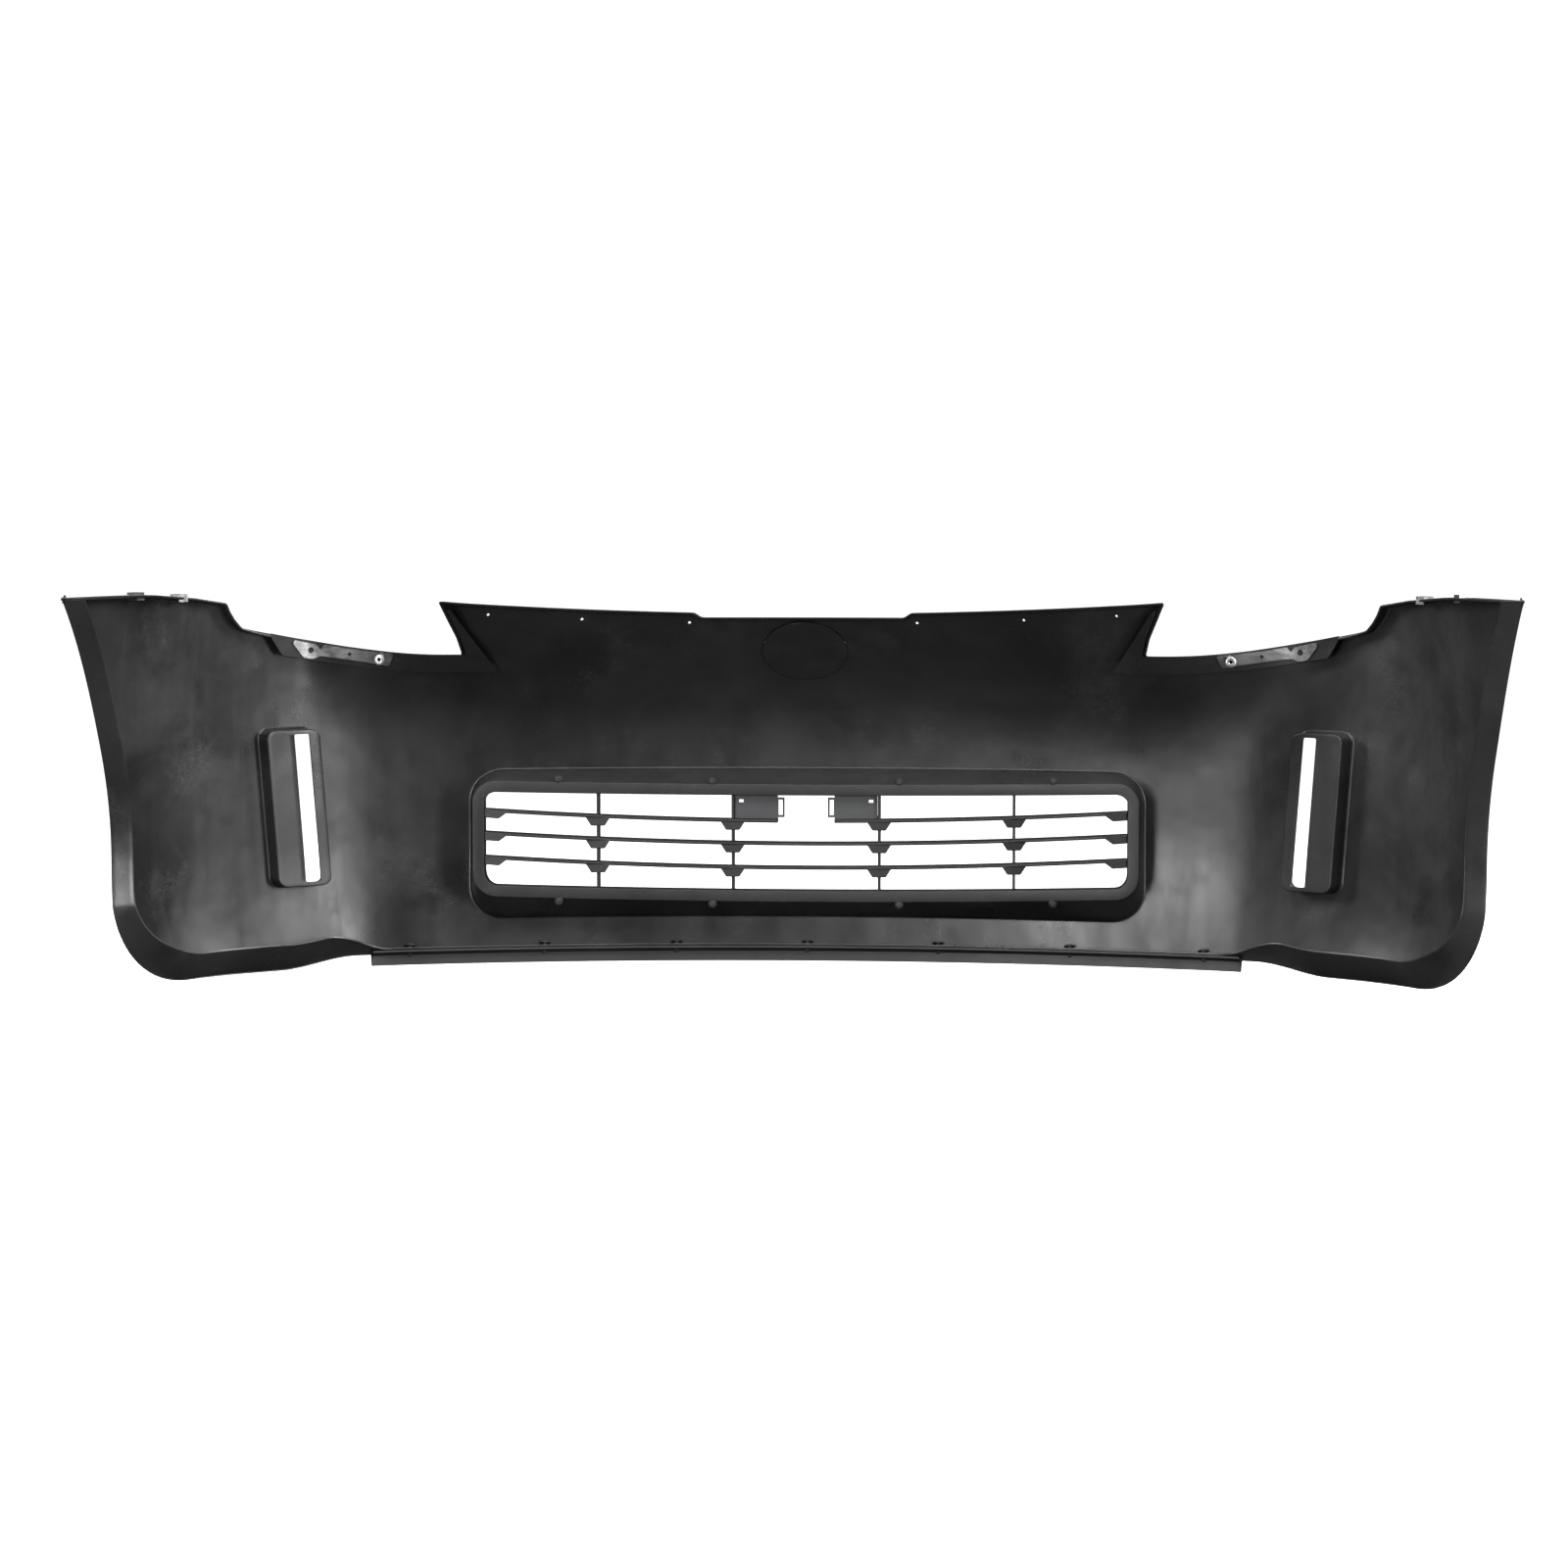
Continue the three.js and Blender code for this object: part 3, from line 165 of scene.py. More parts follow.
STATION_TABLE = np.linspace(0, 1.06, 1201)
_middles = (STATION_TABLE[1:] + STATION_TABLE[:-1]) / 2
PLAN_X = np.concatenate([[0], np.cumsum(np.cos(heading(_middles)))])
PLAN_SETBACK = np.concatenate([[0], np.cumsum(np.sin(heading(_middles)))])
PLAN_X *= (WIDTH / 2 + side_inset(HEIGHT)) / np.interp(1, STATION_TABLE, PLAN_X)
PLAN_SETBACK *= DEPTH / np.interp(1, STATION_TABLE, PLAN_SETBACK)
ARC = float(np.hypot(np.diff(PLAN_X), np.diff(PLAN_SETBACK)).sum() / STATION_TABLE[-1])
NOSE_Y = float(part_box("cover_skin")[1][1]) + float(inset(0.0, np.linspace(0.1, 0.3, 81)).min())


def skin(s, z, inwards=0.0):
    """Point of the cover: the plan curve at station s, moved level inwards by the lean at z."""
    s, z, inwards = np.broadcast_arrays(
        np.asarray(s, float), np.asarray(z, float), np.asarray(inwards, float)
    )
    size = np.abs(s)
    x = np.interp(size, STATION_TABLE, PLAN_X)
    setback = np.interp(size, STATION_TABLE, PLAN_SETBACK)
    scale_x = PLAN_X[-1] / np.cos(heading(_middles)).sum()
    scale_y = PLAN_SETBACK[-1] / np.sin(heading(_middles)).sum()
    along_x = np.cos(heading(size)) * scale_x
    along_y = np.sin(heading(size)) * scale_y
    length = np.hypot(along_x, along_y)
    reach = inset(s, z) + inwards
    x = x - along_y / length * reach
    setback = setback + along_x / length * reach
    return np.stack([np.where(s < 0, -x, x), NOSE_Y - setback, z], axis=-1)


def wall_factor(s, z):
    """Level thickness over true thickness: root of 1 and the lean's slope squared."""
    slope = (inset(s, z + 0.001) - inset(s, z - 0.001)) / 0.002
    return np.sqrt(1 + slope * slope)


def station_at(x, z, inwards=0.0):
    """Station where the surface at height z reaches x, found by halving."""
    x, z = np.broadcast_arrays(np.asarray(x, float), np.asarray(z, float))
    low, high = np.zeros(x.shape), np.full(x.shape, 1.05)
    for _ in range(28):
        middle = (low + high) / 2
        short = skin(middle, z, inwards)[..., 0] < np.abs(x)
        low, high = np.where(short, middle, low), np.where(short, high, middle)
    return np.where(x < 0, -low, low)


def station_at_setback(setback, z):
    """Station where the surface at height z reaches a setback behind the nose, by halving."""
    low, high = np.zeros(z.shape), np.full(z.shape, 1.055)
    for _ in range(28):
        middle = (low + high) / 2
        short = NOSE_Y - skin(middle, z)[..., 1] < setback
        low, high = np.where(short, middle, low), np.where(short, high, middle)
    return low


# ------------------------------------------------------------------ outlines


def resample(points, step, closed=True):
    """Points along a line at even spacing near step, by interpolating over its running length."""
    line = np.vstack([points, points[:1]]) if closed else points
    run = np.concatenate([[0], np.cumsum(np.hypot(*np.diff(line, axis=0).T))])
    count = max(int(round(run[-1] / step)), 8)
    at = np.linspace(0, run[-1], count, endpoint=not closed)
    return np.stack([np.interp(at, run, line[:, 0]), np.interp(at, run, line[:, 1])], axis=1)


def soften(points, width):
    """Closed line with rounded corners: each point is the weighted mean of its neighbours."""
    shifts = np.arange(-round(3 * width), round(3 * width) + 1)
    weight = np.exp(-0.5 * (shifts / width) ** 2)
    rolled = [np.roll(points, int(k), axis=0) * w for k, w in zip(shifts, weight)]
    return sum(rolled) / weight.sum()


def line_normals(points):
    """Unit normals of a closed counter-clockwise line, pointing to its inside."""
    ahead = np.roll(points, -1, axis=0) - np.roll(points, 1, axis=0)
    ahead /= np.linalg.norm(ahead, axis=1, keepdims=True)
    return np.stack([-ahead[:, 1], ahead[:, 0]], axis=1)


def flat(x, z):
    """Sheet coordinates of points seen from behind: station times arc length, and height."""
    x, z = np.broadcast_arrays(np.asarray(x, float), np.asarray(z, float))
    return np.stack([station_at(x, z) * ARC, z], axis=-1)


def hood_edge(x):
    """Height of the hood edge: a parabola that rises to the horns."""
    return HOOD_EDGE + HOOD_EDGE_RISE * (x / (HORN_BASE + HORN_LEAN)) ** 2


def lamp_lip(x):
    """Height of the lamp lip: rises outwards with the power 1.9."""
    share = np.clip((x - HORN_BASE - 0.030) / (LAMP_OUTER - HORN_BASE - 0.030), 0, 1)
    return LAMP_INNER_HEIGHT + LAMP_RISE * share**1.9


def bottom_edge(x):
    """Height of the bottom edge: 13 mm between the feet, down to 0 over a smooth ramp."""
    return FOOT_RISE * (1 - smooth((np.abs(x) - FOOT_MIDDLE + FOOT_RAMP / 2) / FOOT_RAMP))


def top_line():
    """Right half of the top edge: hood edge, horn, lamp lip, curved step and fender edge."""
    hood = np.linspace(HOOD_STEP_HALF + 0.009, HORN_BASE + HORN_LEAN, 40)
    tip = hood_edge(hood[-1])
    lamp = np.linspace(HORN_BASE, LAMP_OUTER, 60)
    end = LAMP_INNER_HEIGHT + LAMP_RISE
    shoulder = end + LAMP_SHOULDER
    step_x = LAMP_OUTER + np.array([0.010, 0.016, 0.020, 0.055, 0.100])
    rise = np.array([0.33, 0.64, 1.0])
    fender = shoulder + FENDER_RISE * np.array([0.45, 0.83])
    step_z = np.concatenate([end + LAMP_SHOULDER * rise, fender])
    horn_x = [hood[-1] - 0.009, HORN_BASE + 0.004]
    horn_z = [tip - 0.026, LAMP_INNER_HEIGHT + 0.024]
    x = np.concatenate([[0.0, HOOD_STEP_HALF], hood, horn_x, lamp, step_x])
    z = np.concatenate([[HOOD_EDGE - HOOD_STEP] * 2, hood_edge(hood), horn_z, lamp_lip(lamp), step_z])
    return flat(np.append(x, WIDTH / 2), np.append(z, HEIGHT))


def arch_line():
    """The wheel arch's circle from the fender tip down, then the lower rear corner's quarter."""
    wheel_z = HEIGHT - ARCH_REACH
    wheel_back = DEPTH + math.sqrt(ARCH_RADIUS**2 - ARCH_REACH**2)
    join = math.asin((FOOT_CORNER - wheel_z) / ARCH_RADIUS)
    turn = np.linspace(math.asin(ARCH_REACH / ARCH_RADIUS), join, 90)[1:]
    reach = wheel_back - ARCH_RADIUS * math.cos(join)
    quarter = np.linspace(math.pi / 2, 0, 40)[1:]
    setback = np.concatenate([wheel_back - ARCH_RADIUS * np.cos(turn),
                              reach - FOOT_CORNER + FOOT_CORNER * np.sin(quarter)])
    z = np.concatenate([wheel_z + ARCH_RADIUS * np.sin(turn), FOOT_CORNER * (1 - np.cos(quarter))])
    return np.stack([station_at_setback(setback, z) * ARC, z], axis=1)


def cover_outline():
    """The cover's whole edge, counter-clockwise from behind's right, with softened corners."""
    corner = arch_line()
    foot_x = np.linspace(skin(corner[-1, 0] / ARC, 0.0)[0], 0.0, 160)[1:]
    bottom = flat(foot_x, bottom_edge(foot_x))
    right = np.vstack([top_line(), corner, bottom])
    left = right[1:-1][::-1] * np.array([-1, 1])
    line = np.vstack([right, left])[::-1]
    return resample(soften(resample(line, 0.001), 2.2), 0.0026)


def rounded_rectangle(half, bottom, top, corner, run=90, side=30, turn=12):
    """Corner quarters joined by straight runs, counter-clockwise, always the same point count."""
    points = []
    places = [(half - corner, bottom + corner, -90), (half - corner, top - corner, 0),
              (corner - half, top - corner, 90), (corner - half, bottom + corner, 180)]
    for index, (x, z, start) in enumerate(places):
        angle = np.radians(np.linspace(start, start + 90, turn))
        points.append(np.stack([x + corner * np.cos(angle), z + corner * np.sin(angle)], axis=1))
        x2, z2, start2 = places[(index + 1) % 4]
        angle2 = math.radians(start2)
        last = points[-1][-1]
        ahead = np.array([x2 + corner * math.cos(angle2), z2 + corner * math.sin(angle2)])
        share = np.linspace(0, 1, (side, run)[index % 2] + 2)[1:-1, None]
        points.append(last + (ahead - last) * share)
    return np.vstack(points)


def grown(opening, margin):
    """An opening's rounded rectangle seen from behind, grown by a margin."""
    return rounded_rectangle(opening["half"] + margin, opening["bottom"] - margin,
                             opening["top"] + margin, opening["corner"] + margin)


def mouth_line(margin):
    """The mouth's outline seen from behind, grown by a margin."""
    return grown(MOUTH, margin)


def leaning(sign, x, half, rise, corner):
    """A rounded rectangle round x that leans as the marker pockets do, on one side."""
    p = POCKET
    base = rounded_rectangle(half, -rise, rise, corner, *POCKET_POINTS)
    across = x + base[:, 0] + p["lean"] * base[:, 1] / (2 * p["rise"])
    line = np.stack([across * sign, base[:, 1] + p["z"]], axis=1)
    return line if sign > 0 else line[::-1]


def pocket_line(sign, margin):
    """A marker pocket's outline seen from behind, grown by a margin."""
    p = POCKET
    return leaning(sign, p["x"], p["half"] + margin, p["rise"] + margin, p["corner"] + margin)


def slot_line(sign):
    """The slot in the pocket's floor, beside its inboard wall, with the pocket's point count."""
    p, slot = POCKET, POCKET_SLOT
    x = p["x"] - p["half"] + slot["from_wall"]
    return leaning(sign, x, slot["half"], p["rise"] - slot["end_gap"], slot["corner"])


def signed_distance(points, line):
    """Distance to a closed line's segments, positive inside, by crossings of a level ray.

    Far outside the line's box the distance to the box stands for it.
    """
    beyond = np.maximum(np.maximum(line.min(axis=0) - points, points - line.max(axis=0)), 0)
    out = -np.hypot(*beyond.T)
    close = out > -0.02
    if not close.all():
        out[close] = signed_distance(points[close], line)
        return out
    a, b = line, np.roll(line, -1, axis=0)
    edge = b - a
    size = (edge**2).sum(axis=1)
    for start in range(0, len(points), 4000):
        p = points[start:start + 4000]
        gap = p[:, None, :] - a[None]
        share = np.clip((gap * edge).sum(axis=2) / size, 0, 1)
        near = np.sqrt(((gap - share[..., None] * edge) ** 2).sum(axis=2).min(axis=1))
        above = (a[None, :, 1] > p[:, 1:2]) != (b[None, :, 1] > p[:, 1:2])
        rise = np.where(edge[:, 1] == 0, 1e-12, edge[:, 1])
        cross = a[None, :, 0] + (p[:, 1:2] - a[None, :, 1]) * edge[:, 0] / rise
        inside = (above & (p[:, 0:1] < cross)).sum(axis=1) % 2 == 1
        out[start:start + 4000] = np.where(inside, near, -near)
    return out


# ------------------------------------------------------------------ meshes


def body_volume(points, faces):
    """Six times the signed volume: sum over triangles of a dot b cross c."""
    total = 0.0
    for f in faces:
        for k in range(1, f.shape[1] - 1):
            normals = np.cross(points[f[:, k]], points[f[:, k + 1]])
            total += np.einsum("ij,ij->i", points[f[:, 0]], normals).sum()
    return total


def add_piece(name, vertices, faces, material, slot, nodes):
    """A mesh object from a vertex array and a list of face arrays, facing outwards."""
    mesh = bpy.data.meshes.new(name)
    loops = np.concatenate([f.ravel() for f in faces]).astype(np.int32)
    sizes = np.concatenate([np.full(len(f), f.shape[1], np.int32) for f in faces])
    starts = np.concatenate([[0], np.cumsum(sizes)[:-1]]).astype(np.int32)
    if body_volume(vertices, faces) < 0:
        order = np.arange(len(loops)) - np.repeat(starts, sizes)
        loops = loops[np.repeat(starts + sizes - 1, sizes) - order]
    mesh.vertices.add(len(vertices))
    mesh.vertices.foreach_set("co", vertices.astype(np.float32).ravel())
    mesh.loops.add(len(loops))
    mesh.loops.foreach_set("vertex_index", loops)
    mesh.polygons.add(len(sizes))
    mesh.polygons.foreach_set("loop_start", starts)
    mesh.update(calc_edges=True)
    mesh.validate()
    mesh.polygons.foreach_set("use_smooth", np.ones(len(mesh.polygons), bool))
    mesh.set_sharp_from_angle(angle=SHARP_ANGLE)
    mesh.materials.append(material)
    piece = bpy.data.objects.new(name, mesh)
    bpy.context.scene.collection.objects.link(piece)
    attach(piece, "root")
    if nodes:
        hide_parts(*nodes)
    return piece


def grid_faces(rows, columns, close_rows, close_columns, base=0):
    """Quads between neighbouring points of a rows by columns grid, closed round where asked."""
    i = np.arange(rows if close_rows else rows - 1)[:, None]
    j = np.arange(columns if close_columns else columns - 1)[None]
    ni, nj = (i + 1) % rows, (j + 1) % columns
    quad = np.stack([i * columns + j, i * columns + nj, ni * columns + nj, ni * columns + j], axis=-1)
    return quad.reshape(-1, 4) + base


def ring_body(loops):
    """Closed hoop: loops of equal count, each joined to the next and the last to the first."""
    loops = np.asarray(loops)
    return loops.reshape(-1, 3), [grid_faces(*loops.shape[:2], True, True)]


def bar_body(sections):
    """Closed bar: equal closed sections in a row, with a fan to the mean point at each end."""
    sections = np.asarray(sections)
    rows, columns = sections.shape[:2]
    ends = np.stack([sections[0].mean(axis=0), sections[-1].mean(axis=0)])
    vertices = np.vstack([sections.reshape(-1, 3), ends])
    j = np.arange(columns)
    nj = (j + 1) % columns
    first = np.stack([np.full(columns, rows * columns), nj, j], axis=1)
    last_row = (rows - 1) * columns
    last = np.stack([np.full(columns, rows * columns + 1), last_row + j, last_row + nj], axis=1)
    return vertices, [grid_faces(rows, columns, False, True), first, last]


def joined(bodies):
    """Several bodies as one vertex array and one face list, with their indices moved on."""
    vertices, faces, base = [], [], 0
    for points, quads in bodies:
        turned = [q[:, ::-1] if body_volume(points, quads) < 0 else q for q in quads]
        vertices.append(points)
        faces.extend(q + base for q in turned)
        base += len(points)
    return np.vstack(vertices), faces


def trimmed_slab(a_lines, z_lines, distance, near, far):
    """Closed slab along the cover between two inward distances, trimmed where distance is 0.

    Of each grid edge that crosses the trim line, the nearer end moves onto the line along the
    distance's slope. Cells keep their inner corners, and a rim joins the two sheets.
    """
    a, z = np.meshgrid(a_lines, z_lines, indexing="ij")
    shape = a.shape
    points = np.stack([a.ravel(), z.ravel()], axis=1)
    f = distance(points)
    grid = np.arange(len(points)).reshape(shape)
    edges = np.vstack([np.stack([grid[:-1].ravel(), grid[1:].ravel()], axis=1),
                       np.stack([grid[:, :-1].ravel(), grid[:, 1:].ravel()], axis=1)])
    crossing = edges[(f[edges[:, 0]] > 0) != (f[edges[:, 1]] > 0)]
    first_nearer = np.abs(f[crossing[:, 0]]) < np.abs(f[crossing[:, 1]])
    nearer = np.where(first_nearer, crossing[:, 0], crossing[:, 1])
    moved = np.zeros(len(points), bool)
    moved[nearer] = True
    step = 1e-5
    here, there = points[moved], f[moved]
    slope = np.stack([distance(here + aside) - there for aside in ([step, 0], [0, step])], axis=1) / step
    size = np.maximum((slope**2).sum(axis=1), 0.25)
    points[moved] -= (there / size)[:, None] * slope
    inside = moved | (f > 0)
    cells = np.stack([grid[:-1, :-1], grid[1:, :-1], grid[1:, 1:], grid[:-1, 1:]], axis=-1)
    cells = cells.reshape(-1, 4)
    kept = inside[cells].sum(axis=1)
    some = (f[cells] > 0).any(axis=1) & ~((moved[cells] | (f[cells] <= 0)).all(axis=1))
    quads = cells[(kept == 4) & some]
    three = cells[(kept == 3) & some]
    out = np.argmin(inside[three], axis=1)
    rows = np.arange(len(three))[:, None]
    triangles = three[rows, (out[:, None] + np.array([1, 2, 3])) % 4]
    used = np.unique(np.concatenate([quads.ravel(), triangles.ravel()]))
    index = np.full(len(points), -1)
    index[used] = np.arange(len(used))
    quads, triangles = index[quads], index[triangles]
    s, height = points[used, 0] / ARC, points[used, 1]
    sheets = np.vstack([skin(s, height, near(s, height)), skin(s, height, far(s, height))])
    n = len(used)
    loose = np.vstack([np.stack([q[:, k], q[:, (k + 1) % q.shape[1]]], axis=1)
                       for q in (quads, triangles) if len(q) for k in range(q.shape[1])])
    key = np.sort(loose, axis=1)
    _, first, count = np.unique(key[:, 0] * n + key[:, 1], return_index=True, return_counts=True)
    rim = loose[first[count == 1]]
    walls = np.stack([rim[:, 1], rim[:, 0], rim[:, 0] + n, rim[:, 1] + n], axis=1)
    faces = [quads, quads[:, ::-1] + n, walls]
    if len(triangles):
        faces += [triangles, triangles[:, ::-1] + n]
    return sheets, faces


def spaced(low, high, step, fine=(), fine_step=0.0016, fine_half=0.007):
    """Grid lines from low to high at a step, closer together round each fine place."""
    lines = [np.linspace(low, high, max(int((high - low) / step), 2))]
    lines += [np.arange(c - fine_half, c + fine_half + 1e-9, fine_step) for c in fine]
    merged = np.unique(np.clip(np.concatenate(lines), low, high))
    keep = [merged[0]]
    for value in merged[1:]:
        if value - keep[-1] > 0.8 * fine_step:
            keep.append(value)
    return np.array(keep)


def rounding(across, deep, radius, start, end, count):
    """Points of a rounding: its centre plus the radius times the turn's cosine and sine."""
    return [(across + radius * math.cos(t), deep + radius * math.sin(t))
            for t in np.linspace(start, end, count)]


# ------------------------------------------------------------------ finishes


def group_of(name, inputs, outputs):
    """A shader node group with named number inputs and named outputs."""
    tree = bpy.data.node_groups.new(name, "ShaderNodeTree")
    for label, value in inputs:
        socket = tree.interface.new_socket(label, in_out="INPUT", socket_type="NodeSocketFloat")
        socket.default_value = value
    for label in outputs:
        tree.interface.new_socket(label, in_out="OUTPUT", socket_type="NodeSocketFloat")
    return tree, tree.nodes.new("NodeGroupInput"), tree.nodes.new("NodeGroupOutput")


def add_node(tree, kind, settings=None, **inputs):
    """A node with its settings and its inputs, each a value or another node's output."""
    node = tree.nodes.new(kind)
    for key, value in (settings or {}).items():
        setattr(node, key, value)
    for key, value in inputs.items():
        numbered = key[0] == "i" and key[1:].isdigit()
        socket = node.inputs[int(key[1:]) if numbered else key.replace("_", " ")]
        if isinstance(value, bpy.types.NodeSocket):
            tree.links.new(value, socket)
        else:
            socket.default_value = value
    return node


def math_node(tree, operation, first, second=0.0, third=0.0, clamp=False):
    """The result of one arithmetic step."""
    node = add_node(tree, "ShaderNodeMath", {"operation": operation, "use_clamp": clamp},
                    i0=first, i1=second, i2=third)
    return node.outputs[0]


def spread(tree, value, low, high, out_low=0.0, out_high=1.0):
    """A value mapped from one range to another, held at the ends."""
    node = add_node(tree, "ShaderNodeMapRange", {"interpolation_type": "SMOOTHSTEP"},
                    Value=value, From_Min=low, From_Max=high, To_Min=out_low, To_Max=out_high)
    return node.outputs[0]


def noise(tree, vector, scale, detail=4.0, rough=0.55, stretch=None, warp=0.0):
    """Fractal noise on a vector, stretched along an axis where asked."""
    if stretch is not None:
        vector = add_node(tree, "ShaderNodeMapping", Vector=vector, Scale=stretch).outputs[0]
    node = add_node(tree, "ShaderNodeTexNoise", Vector=vector, Scale=scale, Detail=detail,
                    Roughness=rough, Distortion=warp)
    return node.outputs[0]


def moulded_surface():
    """Group: slow clouds, flow lines that run up and down, and a fine pebble grain."""
    tree, given, out = group_of("moulded surface", [("Grain Size", 900.0), ("Flow", 1.0)],
                                ["Clouds", "Flow Lines", "Height"])
    place = add_node(tree, "ShaderNodeTexCoord").outputs["Object"]
    clouds = noise(tree, place, 5.0, 5.0, 0.6, warp=0.6)
    flow = noise(tree, place, 26.0, 4.0, 0.6, stretch=(1.0, 1.0, 0.09), warp=0.25)
    flow = math_node(tree, "MULTIPLY", spread(tree, flow, 0.35, 0.72), given.outputs["Flow"])
    grain = add_node(tree, "ShaderNodeTexVoronoi", {"feature": "SMOOTH_F1"}, Vector=place,
                     Scale=given.outputs["Grain Size"], Smoothness=0.6).outputs["Distance"]
    swell = noise(tree, place, 11.0, 2.0, 0.5)
    height = math_node(tree, "MULTIPLY_ADD", swell, 5.0, math_node(tree, "MULTIPLY", grain, 0.10))
    for label, value in (("Clouds", clouds), ("Flow Lines", flow), ("Height", height)):
        tree.links.new(value, out.inputs[label])
    return tree


def handling_marks():
    """Group: thin scratches in three directions, rubbed patches and settled dust."""
    tree, given, out = group_of("handling marks", [("Scratch Size", 60.0), ("Amount", 1.0)],
                                ["Scratches", "Rubbing", "Dust"])
    place = add_node(tree, "ShaderNodeTexCoord").outputs["Object"]
    total = None
    for turn, stretch in ((0.5, (1.0, 1.0, 14.0)), (1.9, (9.0, 1.0, 1.0)), (2.7, (12.0, 1.0, 0.7))):
        angles = (turn, turn * 0.6, turn * 1.3)
        turned = add_node(tree, "ShaderNodeMapping", Vector=place, Rotation=angles).outputs[0]
        lines = noise(tree, turned, given.outputs["Scratch Size"], 3.0, 0.5, stretch=stretch)
        off_middle = math_node(tree, "ABSOLUTE", math_node(tree, "SUBTRACT", lines, 0.5))
        thin = spread(tree, off_middle, 0.0, 0.012, 1.0, 0.0)
        total = thin if total is None else math_node(tree, "MAXIMUM", total, thin)
    patches = spread(tree, noise(tree, place, 9.0, 4.0, 0.65), 0.52, 0.70)
    amount = given.outputs["Amount"]
    scratches = math_node(tree, "MULTIPLY", math_node(tree, "MULTIPLY", total, patches), amount)
    rubbed = spread(tree, noise(tree, place, 17.0, 6.0, 0.7), 0.5, 0.75)
    rubbing = math_node(tree, "MULTIPLY", rubbed, amount)
    normal = add_node(tree, "ShaderNodeNewGeometry").outputs["Normal"]
    up = add_node(tree, "ShaderNodeSeparateXYZ", Vector=normal)
    level = spread(tree, up.outputs["Z"], 0.35, 0.95)
    specks = spread(tree, noise(tree, place, 420.0, 2.0, 0.6), 0.55, 0.75)
    film = noise(tree, place, 38.0, 5.0, 0.65)
    settled = math_node(tree, "MULTIPLY_ADD", specks, 0.5, film)
    dust = math_node(tree, "MULTIPLY", settled, level, clamp=True)
    for label, value in (("Scratches", scratches), ("Rubbing", rubbing), ("Dust", dust)):
        tree.links.new(value, out.inputs[label])
    return tree


GROUPS = {}


def place_group(tree, key, maker, **inputs):
    """The one shared group of this kind, placed in a material with its own values."""
    if key not in GROUPS:
        GROUPS[key] = maker()
    return add_node(tree, "ShaderNodeGroup", {"node_tree": GROUPS[key]}, **inputs)


def new_material(name):
    """An empty node material with its Principled shader."""
    material = bpy.data.materials.new(name)
    material.use_nodes = True
    return material, material.node_tree, material.node_tree.nodes["Principled BSDF"]


def colour_mix(tree, share, first, second):
    """Two colours mixed by a share."""
    node = add_node(tree, "ShaderNodeMix", {"data_type": "RGBA"}, i0=share)
    for index, value in ((6, first), (7, second)):
        if isinstance(value, bpy.types.NodeSocket):
            tree.links.new(value, node.inputs[index])
        else:
            node.inputs[index].default_value = (*value, 1.0)
    return node.outputs[2]


PALE_SCRATCH = (0.13, 0.13, 0.13)
PLASTIC_DUST = (0.16, 0.155, 0.145)
METAL_DUST = (0.3, 0.28, 0.25)


def plastic(name, dark, light, rough, grain_size, bump, flow=1.0, wear=1.0):
    """Moulded plastic: clouded colour, flow lines in the gloss, pebble grain, scratches and dust."""
    material, tree, shader = new_material(name)
    surface = place_group(tree, "surface", moulded_surface, Grain_Size=grain_size, Flow=flow)
    marks = place_group(tree, "marks", handling_marks, Scratch_Size=60.0, Amount=wear)
    colour = colour_mix(tree, spread(tree, surface.outputs["Clouds"], 0.35, 0.68), dark, light)
    pale = math_node(tree, "MULTIPLY", marks.outputs["Scratches"], 0.30)
    colour = colour_mix(tree, pale, colour, PALE_SCRATCH)
    dusty = math_node(tree, "MULTIPLY", marks.outputs["Dust"], 0.16)
    colour = colour_mix(tree, dusty, colour, PLASTIC_DUST)
    tree.links.new(colour, shader.inputs["Base Color"])
    value = spread(tree, surface.outputs["Clouds"], 0.3, 0.7, rough[0], rough[1])
    value = math_node(tree, "MULTIPLY_ADD", surface.outputs["Flow Lines"], 0.07, value)
    value = math_node(tree, "MULTIPLY_ADD", marks.outputs["Rubbing"], 0.06, value)
    value = math_node(tree, "MULTIPLY_ADD", marks.outputs["Scratches"], 0.15, value, clamp=True)
    tree.links.new(value, shader.inputs["Roughness"])
    swell = surface.outputs["Height"]
    height = math_node(tree, "MULTIPLY_ADD", marks.outputs["Scratches"], -0.05, swell)
    relief = add_node(tree, "ShaderNodeBump", Strength=1.0, Distance=bump, Height=height)
    tree.links.new(relief.outputs[0], shader.inputs["Normal"])
    return material


